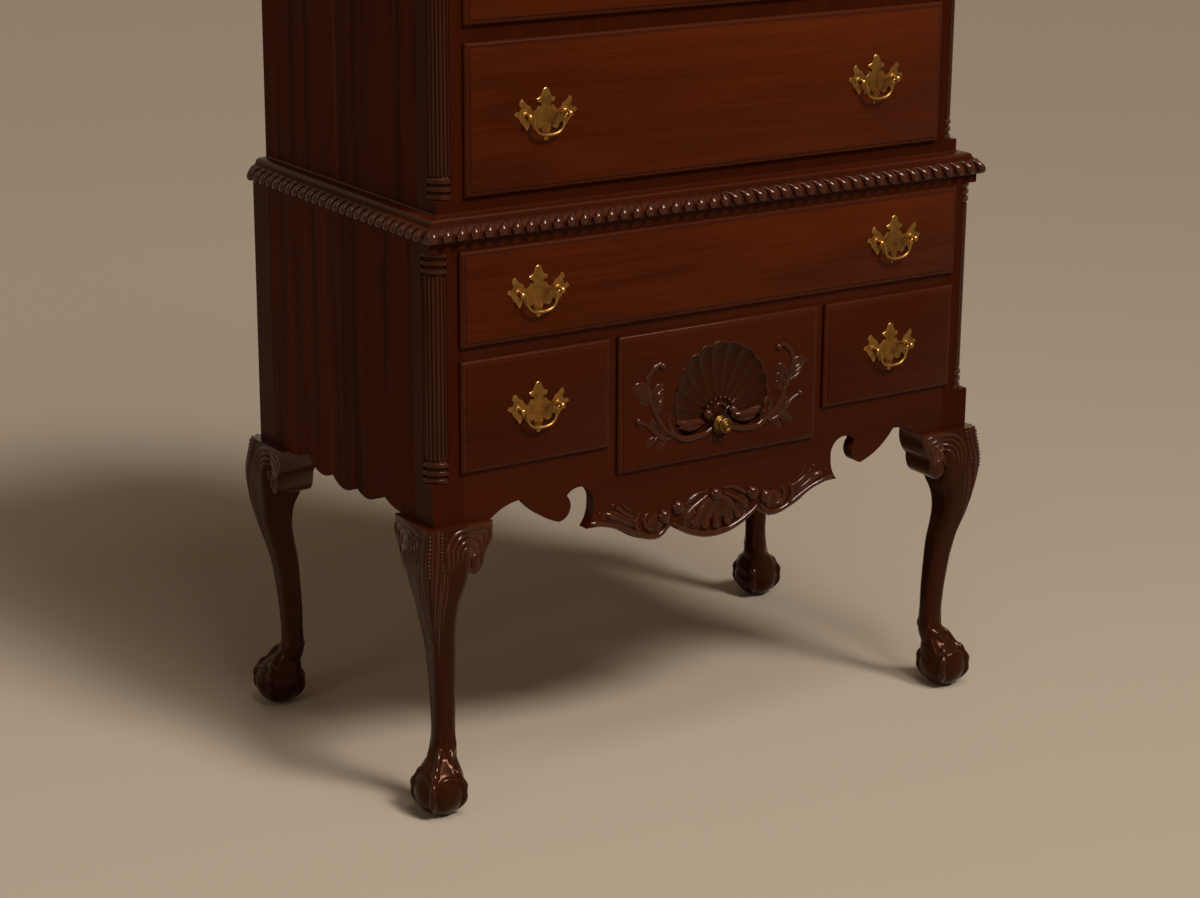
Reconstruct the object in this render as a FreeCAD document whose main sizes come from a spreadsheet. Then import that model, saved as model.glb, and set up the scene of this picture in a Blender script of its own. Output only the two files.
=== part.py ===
import FreeCAD, Part
import math
import os
import re

# A two-part highboy: a case of drawers on cabriole legs below, a taller case of drawers with a
# broken scroll pediment above. Millimetres, +Z up, +X to the right of someone facing the drawers,
# the drawers facing -Y. The origin is on the floor, under the middle of the lower case.

Vector = FreeCAD.Vector
UP = Vector(0, 0, 1)
BACKWARDS = Vector(0, 1, 0)

doc = FreeCAD.newDocument("Highboy")
sheet = doc.addObject("Spreadsheet::Sheet", "Sizes")
places = doc.addObject("App::VarSet", "Places")

SIZES = (
    # lower case
    ("base_width", 965.2, "outside width of the lower case"),
    ("base_depth", 533.2, "outside depth of the lower case"),
    ("leg_post", 49.6, "side of the square post above each leg"),
    ("knee_top", 435.9, "floor to the bottom of the case at the corners"),
    ("apron_rail", 80.1, "apron above the knees, up to the small drawers"),
    ("centre_drop", 44.0, "how far the shell drawer reaches below the small drawers"),
    ("small_opening", 148.5, "height of the small drawers' openings"),
    ("rail_height", 30.5, "rail between the two rows of the lower case"),
    ("long_opening", 123.8, "height of the long drawer's opening"),
    ("top_rail", 27.2, "rail above the long drawer"),
    ("centre_half", 172.5, "half width of the shell drawer's opening"),
    ("divider", 26.2, "width of the dividers beside the shell drawer"),
    ("board", 20.0, "thickness of sides, rails and apron"),
    ("back_board", 10.0, "thickness of the back panels"),
    ("dust_board", 14.0, "thickness of the boards that close the cases"),
    # upper case
    ("setback", 23.2, "step from the lower case in to the upper case"),
    ("upper_post", 49.4, "side of the square front posts of the upper case"),
    ("plinth_rail", 38.5, "rail under the lowest upper drawer"),
    ("upper_rail", 35.0, "rails between the upper drawers"),
    ("first_opening", 199.2, "height of the lowest upper drawer's opening"),
    ("second_opening", 173.0, "height of the second upper drawer's opening"),
    ("third_opening", 148.0, "height of the third upper drawer's opening"),
    ("fourth_opening", 118.0, "height of the small upper drawers' openings"),
    ("shell_rise", 50.0, "how far the upper shell drawer reaches above its neighbours"),
    ("crown_rail", 68.4, "case above the small upper drawers"),
    ("upper_centre_half", 140.0, "half width of the upper shell drawer's opening"),
    ("upper_divider", 28.0, "width of the dividers beside the upper shell drawer"),
    # runners
    ("runner_width", 30.0, "how far a runner reaches under its drawer"),
    ("runner_height", 18.0, "height of a runner"),
    ("guide_height", 20.0, "how far a guide stands above its runner"),
    # drawers
    ("lip", 6.0, "how far a drawer's lip covers the frame"),
    ("lip_thick", 4.8, "thickness of the lip's square edge"),
    ("lip_gap", 0.3, "gap between a shut drawer's lip and the frame"),
    ("thumb_width", 9.0, "width of the thumbnail moulding on a drawer's edge"),
    ("thumb_rise", 3.5, "rise of the thumbnail moulding"),
    ("thumb_inset", 1.0, "lip's square edge to the foot of the thumbnail moulding"),
    ("front_board", 12.0, "drawer front behind the lip"),
    ("slide_gap", 1.0, "gap beside and above a drawer in its opening"),
    ("runner_gap", 0.3, "gap between a drawer and its runners"),
    ("drawer_wall", 12.0, "thickness of a drawer's sides and back"),
    ("drawer_floor", 6.0, "thickness of a drawer's bottom"),
    ("floor_lift", 6.0, "height of the bottom above the drawer sides' edge"),
    ("headroom", 6.0, "how far the drawer sides stop below the opening"),
    ("drawer_back_gap", 15.0, "space behind a drawer's back"),
    # legs
    ("ball_radius", 37.5, "radius of the ball of each foot"),
    ("ball_flat", 1.5, "how much of the ball the floor cuts off"),
    ("foot_inset", 12.7, "foot centre inside both faces of its corner"),
    ("claw_radius", 6.5, "radius of a claw"),
    ("knee_reach", 22.9, "how far a knee stands out from both faces of its corner"),
    ("claw_spread", 85.0, "angle between the front claw and each side claw"),
    ("knee_block_length", 45.0, "length of a knee block along the case"),
    ("knee_block_drop", 80.0, "height of a knee block"),
    ("knee_block_proud", 12.0, "how far a knee block stands out from the case"),
    ("apron_drop", 96.0, "case bottom to the lowest point of the front apron"),
    ("scallop_height", 12.0, "depth of the scallops along the side panels"),
    ("scallop_shift", 5.0, "middle of the scallops in front of the middle of the side"),
    # quarter columns
    ("recess", 25.5, "side of the corner recess of the lower columns"),
    ("shaft", 23.6, "radius of the lower columns' shafts"),
    ("column_foot", 61.9, "case bottom to the foot of the lower columns"),
    ("column_head", 20.0, "lower columns' heads below the top of the posts"),
    ("ring_band", 30.0, "height of the turned rings at each end of a column"),
    ("ring_groove", 3.0, "depth of the grooves between the rings"),
    ("upper_recess", 23.4, "side of the corner recess of the upper columns"),
    ("upper_shaft", 21.8, "radius of the upper columns' shafts"),
    ("upper_column_foot", 31.3, "upper case's bottom to the foot of its columns"),
    ("upper_column_head", 58.0, "upper columns' heads below the top of the case"),
    # waist moulding
    ("waist_reach", 18.0, "how far the gadrooned edge stands out from the lower case"),
    ("waist_drop", 21.0, "moulding below the top of the lower case"),
    ("waist_rise", 14.0, "moulding above the top of the lower case"),
    # pediment
    ("cornice_height", 48.0, "height of the cornice and scroll mouldings"),
    ("cornice_reach", 42.0, "how far the cornice stands out"),
    ("scroll_start", 4.0, "level piece of cornice at each front corner"),
    ("scroll_rise", 200.0, "rise of the scrolls from the corners to the rosettes"),
    ("scroll_end", 104.0, "middle of the pediment to the end of a scroll"),
    ("rosette_radius", 33.0, "radius of the rosettes that end the scrolls"),
    ("rosette_back", 46.0, "thickness of a rosette's turned disc"),
    ("rosette_boss", 6.0, "height of a rosette's round boss"),
    ("dip_height", 88.0, "case top to the floor of the gap between the scrolls"),
    ("dip_half", 42.0, "half width of the gap's floor"),
    ("plinth_side", 48.0, "side of the square finial plinths"),
    ("side_plinth", 44.0, "height of the side finials' plinths"),
    ("centre_plinth", 62.0, "height of the centre finial's plinth"),
    ("finial_height", 238.0, "height of the centre finial"),
    ("side_finial_height", 214.0, "height of a side finial"),
    ("finial_radius", 31.0, "radius of a finial's urn"),
    # pulls and knobs
    ("post_spacing", 65.2, "distance between a pull's two posts"),
    ("plate_thick", 1.6, "thickness of a pull's plate"),
    ("post_head", 4.5, "radius of a post's round head"),
    ("post_neck", 3.2, "radius of a post's neck"),
    ("post_reach", 15.0, "post in front of the plate"),
    ("screw_radius", 2.5, "radius of the screw at a post's back"),
    ("screw_end", 1.0, "screw behind its nut"),
    ("screw_play", 0.1, "radial gap of a screw in its hole"),
    ("nut_width", 9.0, "width of a nut across its corners"),
    ("nut_thick", 3.0, "thickness of a nut"),
    ("nut_play", 0.02, "radial gap of a nut on its screw"),
    ("bail_radius", 2.0, "radius of a bail's wire"),
    ("bail_bend", 3.0, "bend between a bail's pin and its arm"),
    ("bail_drop", 27.0, "posts' height down to the bottom of the bail"),
    ("bail_round", 18.0, "radius of a bail's lower corners"),
    ("bail_gap", 0.3, "gap between a bail's arm and its posts"),
    ("pin_radius", 1.5, "radius of a bail's pins"),
    ("pin_play", 0.05, "radial gap of a pin in its post"),
    ("pin_depth", 5.0, "how deep a pin reaches into its post"),
    ("knob_radius", 12.0, "radius of a shell drawer's knob"),
    ("knob_reach", 20.0, "how far a knob stands out"),
    ("knob_neck", 5.5, "radius of a knob's neck"),
    ("knob_rise", 51.0, "shell drawer's lower edge to its knob"),
)

# Where things stand, worked out from the sizes.
PLACES = (
    ("base_half", "base_width / 2"),
    ("front", "-base_depth / 2"),
    ("rear", "base_depth / 2"),
    ("opening_half", "base_half - leg_post"),
    ("small_bottom", "knee_top + apron_rail"),
    ("centre_bottom", "small_bottom - centre_drop"),
    ("small_top", "small_bottom + small_opening"),
    ("long_bottom", "small_top + rail_height"),
    ("long_top", "long_bottom + long_opening"),
    ("post_top", "long_top + top_rail"),
    ("base_top", "post_top + dust_board"),
    ("upper_half", "base_half - setback"),
    ("upper_front", "front + setback"),
    ("upper_opening", "upper_half - upper_post"),
    ("first_bottom", "base_top + plinth_rail"),
    ("first_top", "first_bottom + first_opening"),
    ("second_bottom", "first_top + upper_rail"),
    ("second_top", "second_bottom + second_opening"),
    ("third_bottom", "second_top + upper_rail"),
    ("third_top", "third_bottom + third_opening"),
    ("fourth_bottom", "third_top + upper_rail"),
    ("fourth_top", "fourth_bottom + fourth_opening"),
    ("shell_top", "fourth_top + shell_rise"),
    ("case_top", "fourth_top + crown_rail"),
    ("centre_outer", "centre_half + divider"),
    ("upper_centre_outer", "upper_centre_half + upper_divider"),
    ("pull_centre", "(opening_half + centre_outer) / 2"),
    ("upper_pull_centre", "(upper_opening + upper_centre_outer) / 2"),
    ("drawer_end", "rear - back_board - drawer_back_gap"),
    ("screw_hole", "screw_radius + screw_play"),
)

OWNER = {}
NODES = []


def qualify(formula):
    """Put the owner's name before each size or place in a formula."""
    return re.sub(r"[a-z][a-z_]*", lambda word: OWNER[word.group()] + "." + word.group(), formula)


def bind(item, prop, formula):
    item.setExpression(prop, qualify(formula))


def fill_sheet():
    for row, (alias, value, meaning) in enumerate(SIZES, 1):
        sheet.set("A%d" % row, meaning)
        sheet.set("B%d" % row, str(value))
        sheet.setAlias("B%d" % row, alias)
        OWNER[alias] = "Sizes"
    for name, formula in PLACES:
        places.addProperty("App::PropertyFloat", name)
        bind(places, name, formula)
        OWNER[name] = "Places"
    doc.recompute()


# Outlines -------------------------------------------------------------------------------------

def outline(lay, start, steps):
    """A closed or open wire. A step of two numbers is a straight line to that point, and one of
    four is an arc through the first point to the second. lay turns a point into a vector."""
    edges = []
    here = lay(*start)
    for step in steps:
        there = lay(*step[-2:])
        if len(step) == 4:
            edges.append(Part.Arc(here, lay(*step[:2]), there).toShape())
        else:
            edges.append(Part.LineSegment(here, there).toShape())
        here = there
    return Part.Wire(edges)


def mirrored(start, steps):
    """Steps that run back from the middle line, through the mirror image of those given."""
    stops = [start] + [step[-2:] for step in steps]
    back = []
    for step, stop in zip(reversed(steps), reversed(stops[:-1])):
        through = (-step[0], step[1]) if len(step) == 4 else ()
        back.append(through + (-stop[0], stop[1]))
    return back


def on_face(y):
    """Lays an outline on a plane that faces the front, at a given y."""
    return lambda x, z: Vector(x, y, z)


def slab(wire, push):
    """A flat piece: the inside of a closed wire, pushed along a vector."""
    return Part.Face(wire).extrude(push)


def turned(steps, axis_at, axis, angle=360.0, across=Vector(1, 0, 0)):
    """A turned piece: steps are (radius, distance along the axis), begun and ended on the axis."""
    wire = outline(lambda r, along: axis_at + across * r + axis * along, steps[0], steps[1:])
    return Part.Face(wire).revolve(axis_at, axis, angle)


# Document objects -----------------------------------------------------------------------------

def box(name, x, y, z):
    """A board between two corners. Each of x, y and z is a pair of formulas, low then high."""
    item = doc.addObject("Part::Box", name)
    for side, corner, (low, high) in zip(("Length", "Width", "Height"), "xyz", (x, y, z)):
        bind(item, side, "(%s) - (%s)" % (high, low))
        bind(item, "Placement.Base." + corner, low)
    return item


def on_side(side, pair):
    """A pair of x formulas as they are on the right, or mirrored to the left."""
    low, high = pair
    return pair if side > 0 else ("-(%s)" % high, "-(%s)" % low)


def cut(name, base, tool):
    item = doc.addObject("Part::Cut", name)
    item.Base, item.Tool = base, tool
    return item


def fuse(name, *pieces):
    item = doc.addObject("Part::MultiFuse", name)
    item.Shapes = list(pieces)
    item.Refine = True
    return item


def feature(name, shape, placement=None):
    item = doc.addObject("Part::Feature", name)
    item.Shape = shape
    item.Placement = placement or FreeCAD.Placement()
    return item


def node(label, *pieces):
    """One sub-part. Several pieces stay separate solids of one group."""
    item = pieces[0]
    if len(pieces) > 1:
        item = doc.addObject("Part::Compound", label)
        item.Links = list(pieces)
    item.Label = label
    NODES.append(item)


def at_corner(half, y, side, end):
    """Placement of a corner piece drawn at the front left corner, with x and y running inwards.
    side is -1 for left, end is -1 for front."""
    turn = {(-1, -1): 0, (1, -1): 90, (1, 1): 180, (-1, 1): 270}[side, end]
    return FreeCAD.Placement(Vector(side * half, y, 0), FreeCAD.Rotation(UP, turn))


# Legs -----------------------------------------------------------------------------------------

# Square sections of a leg from the case down to the foot, as shares: height between the foot's top
# and the case, reach outside the corner's two faces (of the knee's), inner side and corner radius
# (both of the post's side).
LEG = ((1.0, 0.53, 1.0, 0.02), (0.985, 0.57, 1.0, 0.06), (0.957, 0.66, 1.0, 0.12),
       (0.923, 0.80, 1.0, 0.18), (0.888, 0.92, 1.0, 0.20), (0.846, 1.0, 1.0, 0.24),
       (0.782, 0.90, 0.96, 0.26), (0.710, 0.68, 0.79, 0.26), (0.638, 0.43, 0.73, 0.23),
       (0.564, 0.11, 0.77, 0.22), (0.492, -0.15, 0.83, 0.21), (0.418, -0.31, 0.86, 0.21),
       (0.271, -0.50, 0.91, 0.25), (0.125, -0.55, 0.93, 0.30), (0.075, -0.41, 0.94, 0.32),
       (0.0, 0.09, 0.81, 0.36))
# Height of the foot's top, counted in the ball's radius.
FOOT_TOP = 1.6
# Directions from a leg's corner, in degrees: away from the case, and in under it.
OUTWARDS = 225.0
INWARDS = 45.0
# A claw lies on the ball from one angle above its middle to another below, and ends in a nail. The
# nail's length and the width of its tip are counted in the claw's radius.
CLAW_TOP = 60.0
CLAW_END = -30.0
NAIL_LENGTH = 2.0
NAIL_TIP = 0.3


def leg_section(height, reach, inner, corner):
    low, high = -reach, inner
    nick = corner * (1 - math.sqrt(0.5))
    steps = ((high - corner, low), (high - nick, low + nick, high, low + corner),
             (high, high - corner), (high - nick, high - nick, high - corner, high),
             (low + corner, high), (low + nick, high - nick, low, high - corner),
             (low, low + corner), (low + nick, low + nick, low + corner, low))
    return outline(lambda x, y: Vector(x, y, height), (low + corner, low), steps)


def spoke(across, along, angle):
    """A direction at an angle in degrees from one unit vector towards another."""
    return across * math.cos(math.radians(angle)) + along * math.sin(math.radians(angle))


def foot(centre, ball, claw, spread):
    """A ball on the floor with four claws round it, the front claw on the leg's outer side."""
    solids = [Part.makeSphere(ball, centre)]
    for angle in (OUTWARDS, OUTWARDS - spread, OUTWARDS + spread, INWARDS):
        away = spoke(Vector(1, 0, 0), BACKWARDS, angle)
        axle = UP.cross(away)
        knuckle = spoke(away, UP, CLAW_TOP) * ball
        nail = spoke(away, UP, CLAW_END) * ball
        disc = Part.Wire(Part.Circle(centre + knuckle, axle.cross(knuckle), claw).toShape())
        solids.append(Part.Face(disc).revolve(centre, axle, CLAW_TOP - CLAW_END))
        solids.append(Part.makeCone(claw, NAIL_TIP * claw, NAIL_LENGTH * claw, centre + nail,
                                    axle.cross(nail)))
    return solids


def leg_shape(recess_depth, recess_low, recess_high):
    """A leg at its corner: knee, shin, foot and the post that runs up inside the case."""
    s = sheet
    foot_top = FOOT_TOP * s.ball_radius
    sections = [leg_section(foot_top + share * (s.knee_top - foot_top), reach * s.knee_reach,
                            inner * s.leg_post, corner * s.leg_post)
                for share, reach, inner, corner in LEG]
    shin = Part.makeLoft(sections, True, True)
    post = Part.makeBox(s.leg_post, s.leg_post, places.post_top - s.knee_top, Vector(0, 0, s.knee_top))
    if recess_depth:
        recess = Part.makeBox(recess_depth, recess_depth, recess_high - recess_low,
                              Vector(0, 0, recess_low))
        post = post.cut(recess)
    centre = Vector(s.foot_inset, s.foot_inset, s.ball_radius - s.ball_flat)
    whole = shin.fuse([post] + foot(centre, s.ball_radius, s.claw_radius, s.claw_spread))
    below = 2 * s.ball_radius
    floor = Part.makeBox(2 * below, 2 * below, below, Vector(-below, -below, -below))
    return whole.cut(floor)


def legs():
    s = sheet
    low = s.knee_top + s.column_foot
    high = places.post_top - s.column_head
    front_leg = leg_shape(s.recess, low, high)
    rear_leg = leg_shape(0, low, high)
    for side, word in ((-1, "left"), (1, "right")):
        node("leg_front_" + word, feature("front_leg", front_leg,
                                          at_corner(places.base_half, places.front, side, -1)))
        node("leg_rear_" + word, feature("rear_leg", rear_leg,
                                         at_corner(places.base_half, places.rear, side, 1)))


def knee_block(along, across):
    """The shaped block beside a knee. along runs away from the leg, across runs into the case."""
    s = sheet
    length, drop, top = s.knee_block_length, s.knee_block_drop, s.knee_top

    def lay(x, z):
        return along * (s.leg_post + x) - across * s.knee_block_proud + UP * (top + z)

    steps = ((length, 0), (0.96 * length, -0.3 * drop, 0.66 * length, -0.56 * drop),
             (0.56 * length, -0.86 * drop, 0.25 * length, -drop), (0, -0.93 * drop), (0, 0))
    return slab(outline(lay, (0, 0), steps), across * (s.knee_block_proud + s.leg_post))


def knee_blocks():
    x, y = Vector(1, 0, 0), Vector(0, 1, 0)
    blocks = []
    for side in (-1, 1):
        front = at_corner(places.base_half, places.front, side, -1)
        rear = at_corner(places.base_half, places.rear, side, 1)
        blocks.append(feature("knee_block", knee_block(x, y), front))
        blocks.append(feature("knee_block", knee_block(y, x), front))
        along, across = (x, y) if side < 0 else (y, x)
        blocks.append(feature("knee_block", knee_block(along, across), rear))
    node("knee_blocks", *blocks)


# Lower case -----------------------------------------------------------------------------------

# Half of the side panels' lower edge, from a knee block to the middle, and half of the front
# apron's, from a knee block to its lowest point: shares of the way out to the block, and shares of
# the edge's depth, counted from the bottom of the case.
SIDE_EDGE = ((0.802, 0.42, 0.680, 1.25), (0.407, -0.62, 0.218, 0.17),
             (0.109, -0.74, 0, -1.0))
APRON_EDGE = ((0.936, 0.146, 0.869, 0.198), (0.789, -0.115, 0.709, -0.271),
              (0.662, -0.125, 0.675, 0.115), (0.619, 0.219, 0.557, -0.094),
              (0.564, -0.302, 0.588, -0.469), (0.503, -0.50, 0.412, -0.677),
              (0.340, -0.802, 0.258, -0.854), (0.232, -0.781, 0.204, -0.677),
              (0.108, -0.917, 0, -1.0))


def scaled(steps, along, up):
    """Steps given as shares, as lengths along and up."""
    return [tuple(share * (up if place % 2 else along) for place, share in enumerate(step))
            for step in steps]


def base_sides():
    """Side panels between the posts, with a scalloped lower edge."""
    s = sheet
    front, rear = places.front + s.leg_post, places.rear - s.leg_post
    middle = (front + rear) / 2 - s.scallop_shift
    reach = middle - front - s.knee_block_length
    rise = places.post_top - s.knee_top
    start = (reach, 0)
    half = scaled(SIDE_EDGE, reach, s.scallop_height)
    rest = [(front - middle, 0), (front - middle, rise), (rear - middle, rise), (rear - middle, 0), start]
    sides = []
    for side in (-1, 1):
        face = side * places.base_half
        wire = outline(lambda y, z: Vector(face, middle + y, s.knee_top + z), start,
                       half + mirrored(start, half) + rest)
        sides.append(feature("base_side", slab(wire, Vector(-side * s.board, 0, 0))))
    node("base_sides", *sides)


def front_apron():
    """Apron between the front legs: shaped lower edge, and a notch above for the shell drawer."""
    s = sheet
    opening, shell = places.opening_half, s.centre_half
    reach = opening - s.knee_block_length
    start = (opening, 0)
    half = [(reach, 0)] + scaled(APRON_EDGE, reach, s.apron_drop)
    small, centre = s.apron_rail, s.apron_rail - s.centre_drop
    top = [(-opening, small), (-shell, small), (-shell, centre), (shell, centre), (shell, small),
           (opening, small), start]
    wire = outline(lambda x, z: Vector(x, places.front, s.knee_top + z), start,
                   half + mirrored(start, half) + top)
    node("front_apron", feature("apron", slab(wire, BACKWARDS * s.board)))


def base_rails():
    """Rails and dividers that frame the lower drawers."""
    across = ("-opening_half", "opening_half")
    deep = ("front", "front + board")
    pieces = [box("rail", across, deep, ("small_top", "long_bottom")),
              box("rail", across, deep, ("long_top", "post_top"))]
    for side in (-1, 1):
        pieces.append(box("divider", on_side(side, ("centre_half", "centre_outer")), deep,
                          ("small_bottom", "small_top")))
    node("base_rails", *pieces)


def waist_moulding():
    """Gadrooned moulding round the top of the lower case, mitred at the front corners."""
    s = sheet
    top, reach, back = places.base_top, s.waist_reach, s.setback
    drop, rise = s.waist_drop, s.waist_rise
    start = (0, top - drop)
    steps = ((0.06 * reach, top - drop), (reach, top - 0.52 * drop, 0.68 * reach, top - 0.12 * drop),
             (-0.19 * back, top + 0.21 * rise), (-0.24 * back, top + 0.36 * rise),
             (-0.43 * back, top + 0.75 * rise, -0.69 * back, top + 0.93 * rise), (-back, top + rise),
             (-back, top), (0, top), start)
    half, front, rear = places.base_half, places.front, places.rear

    def length(*ends):
        return Part.makeLoft([outline(lay, start, steps) for lay in ends], True, True)

    pieces = [feature("front_length", length(lambda n, z: Vector(-half - n, front - n, z),
                                             lambda n, z: Vector(half + n, front - n, z)))]
    for side in (-1, 1):
        pieces.append(feature("side_length", length(
            lambda n, z: Vector(side * (half + n), front - n, z),
            lambda n, z: Vector(side * (half + n), rear, z))))
    node("waist_moulding", *pieces)


# Quarter columns ------------------------------------------------------------------------------

# Height of one of the three rings at each end of a column, as a share of their whole band.
RING_SHARE = 0.25


def quarter_column(recess, shaft, low, high):
    """A quarter-round column in its corner recess, with three turned rings at each end."""
    s = sheet
    band, groove = s.ring_band, s.ring_groove
    ring = RING_SHARE * band
    hollow = (band - 3 * ring) / 2
    steps = [(0, 0), (recess, 0)]
    for height in (0, ring + hollow, 2 * (ring + hollow)):
        if height:
            steps += [(shaft - groove, height), (recess, height)]
        steps += [(recess, height + ring), (shaft - groove, height + ring)]
    steps[-1] = (shaft, band)
    whole = steps + [(r, high - low - along) for r, along in reversed(steps)] + [(0, 0)]
    axis_at = Vector(recess, recess, low)
    return turned(whole, axis_at, UP, 90.0, Vector(-1, 0, 0))


def quarter_columns():
    s = sheet
    lower = quarter_column(s.recess, s.shaft, s.knee_top + s.column_foot, places.post_top - s.column_head)
    upper = quarter_column(s.upper_recess, s.upper_shaft, places.base_top + s.upper_column_foot,
                           places.case_top - s.upper_column_head)
    pieces = []
    for side in (-1, 1):
        pieces.append(feature("column", lower, at_corner(places.base_half, places.front, side, -1)))
        pieces.append(feature("column", upper,
                              at_corner(places.upper_half, places.upper_front, side, -1)))
    node("quarter_columns", *pieces)


# Upper case -----------------------------------------------------------------------------------

def upper_sides():
    pieces = []
    for side in (-1, 1):
        pieces.append(box("upper_side", on_side(side, ("upper_half - board", "upper_half")),
                          ("upper_front + upper_post", "rear"), ("base_top", "case_top")))
    node("upper_sides", *pieces)


def upper_frame():
    """Front posts, rails and dividers of the upper case."""
    across = ("-upper_opening", "upper_opening")
    deep = ("upper_front", "upper_front + board")
    pieces = []
    for low, high in (("base_top", "first_bottom"), ("first_top", "second_bottom"),
                      ("second_top", "third_bottom"), ("third_top", "fourth_bottom")):
        pieces.append(box("upper_rail", across, deep, (low, high)))
    for side in (-1, 1):
        pieces.append(box("upper_divider", on_side(side, ("upper_centre_half", "upper_centre_outer")),
                          deep, ("fourth_bottom", "fourth_top")))
        post = box("post", on_side(side, ("upper_opening", "upper_half")),
                   ("upper_front", "upper_front + upper_post"), ("base_top", "case_top"))
        recess = box("recess", on_side(side, ("upper_half - upper_recess", "upper_half")),
                     ("upper_front", "upper_front + upper_recess"),
                     ("base_top + upper_column_foot", "case_top - upper_column_head"))
        pieces.append(cut("front_post", post, recess))
    node("upper_frame", *pieces)


def case_boards():
    """Board on top of the lower case, and the upper case's bottom and top boards."""
    front_part = ("upper_front + board", "upper_front + upper_post")
    rear_part = ("upper_front + upper_post", "rear - back_board")
    boards = [box("base_board", ("-base_half", "base_half"), ("front", "rear"),
                  ("post_top", "base_top"))]
    for height in (("base_top", "base_top + dust_board"), ("case_top - dust_board", "case_top")):
        between = box("between_posts", ("-upper_opening", "upper_opening"), front_part, height)
        behind = box("between_sides", ("-upper_half + board", "upper_half - board"), rear_part, height)
        boards.append(fuse("upper_board", between, behind))
    node("case_boards", *boards)


def back_panels():
    node("back_panels",
         box("lower_back", ("-opening_half", "opening_half"), ("rear - back_board", "rear"),
             ("knee_top", "post_top")),
         box("upper_back", ("-upper_half + board", "upper_half - board"),
             ("rear - back_board", "rear"), ("base_top", "case_top")))


# Runners --------------------------------------------------------------------------------------

def outer_runner(side, opening, inner_face, post_back, guide_depth, bottom):
    """A runner beside a post, and a guide that fills the space out to the case side."""
    under = "%s - runner_height" % bottom
    return (box("runner", on_side(side, (opening + " - runner_width", opening)),
                (post_back, "rear - back_board"), (under, bottom)),
            box("guide", on_side(side, (opening, inner_face)), guide_depth,
                (under, bottom + " + guide_height")))


def inner_runner(side, low, high, frame_back, bottom):
    return box("runner", on_side(side, (low, high)), (frame_back, "rear - back_board"),
               ("%s - runner_height" % bottom, bottom))


def drawer_runners():
    """Runners under every drawer, their guides, and the partitions beside the shell drawers."""
    base_guide = ("front + leg_post", "rear - leg_post")
    upper_guide = ("upper_front + upper_post", "rear - back_board")
    pieces = []
    for side in (-1, 1):
        for bottom in ("small_bottom", "long_bottom"):
            pieces.extend(outer_runner(side, "opening_half", "base_half - board", "front + board",
                                       base_guide, bottom))
        for bottom in ("first_bottom", "second_bottom", "third_bottom", "fourth_bottom"):
            pieces.extend(outer_runner(side, "upper_opening", "upper_half - board",
                                       "upper_front + board", upper_guide, bottom))
        pieces.append(box("partition", on_side(side, ("centre_half", "centre_outer")),
                          ("front + board", "rear - back_board"),
                          ("centre_bottom - runner_height", "small_top")))
        pieces.append(inner_runner(side, "centre_half - runner_width", "centre_half",
                                   "front + board", "centre_bottom"))
        pieces.append(inner_runner(side, "centre_outer", "centre_outer + runner_width",
                                   "front + board", "small_bottom"))
        pieces.append(box("partition", on_side(side, ("upper_centre_half", "upper_centre_outer")),
                          ("upper_front + board", "rear - back_board"),
                          ("fourth_bottom - runner_height", "fourth_top")))
        pieces.append(inner_runner(side, "upper_centre_half - runner_width", "upper_centre_half",
                                   "upper_front + board", "fourth_bottom"))
        pieces.append(inner_runner(side, "upper_centre_outer", "upper_centre_outer + runner_width",
                                   "upper_front + board", "fourth_bottom"))
    node("drawer_runners", *pieces)


# Pediment -------------------------------------------------------------------------------------

# The edge of the gap between the scrolls bends at this share of the gap's height.
GAP_BEND = 0.4


def scroll_start():
    return places.upper_half - sheet.scroll_start


def scroll():
    """Centres, radius and sweep of the two equal arcs of a scroll, on the cornice's middle line.
    The first arc bends up from the corner, the second bends level again at the rosette."""
    s = sheet
    run = (scroll_start() - s.scroll_end) / 2
    rise = s.scroll_rise / 2
    radius = (run * run + rise * rise) / (2 * rise)
    sweep = math.degrees(math.asin(run / radius))
    middle = places.case_top - s.cornice_height / 2
    return middle, radius, sweep, Vector(scroll_start(), 0, middle + radius), \
        Vector(s.scroll_end, 0, middle + s.scroll_rise - radius)


def scroll_middle(x):
    """Height of the scroll's middle line at a distance from the middle of the pediment."""
    middle, radius, sweep, first, second = scroll()
    if x > (scroll_start() + sheet.scroll_end) / 2:
        return first.z - math.sqrt(radius ** 2 - (first.x - x) ** 2)
    return second.z + math.sqrt(radius ** 2 - (x - second.x) ** 2)


def pediment_board():
    """Board between the posts: notched below for the shell drawer, scrolled above, and open in
    the middle between the rosettes."""
    s = sheet
    opening, low = places.upper_opening, places.fourth_top
    shell, shell_top = s.upper_centre_half, places.shell_top
    middle, radius, sweep, first, second = scroll()
    half_way = (scroll_start() + s.scroll_end) / 2
    between = (opening + half_way) / 2
    beyond = (half_way + s.scroll_end) / 2
    end_height = second.z + radius
    dip = places.case_top + s.dip_height
    keyhole = ((s.scroll_end + s.dip_half) / 2, dip + GAP_BEND * (end_height - dip))
    start = (opening, low)
    half = ((opening, scroll_middle(opening)),
            (between, scroll_middle(between), half_way, scroll_middle(half_way)),
            (beyond, scroll_middle(beyond), s.scroll_end, end_height),
            keyhole + (s.dip_half, dip), (0, dip))
    below = ((-shell, low), (-shell, shell_top), (shell, shell_top), (shell, low), start)
    wire = outline(on_face(places.upper_front), start, list(half) + mirrored(start, half) + list(below))
    node("pediment_board", feature("tympanum", slab(wire, BACKWARDS * s.board)))


# The cornice's section: reach in front of the case and height above its lower edge, both as
# shares of the whole section.
CORNICE = ((0.14, 0), (0.14, 0.13), (0.30, 0.42, 0.62, 0.52), (0.72, 0.52), (0.72, 0.62),
           (0.93, 0.72, 1.0, 0.88), (1.0, 1.0), (0, 1.0), (0, 0))


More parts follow.
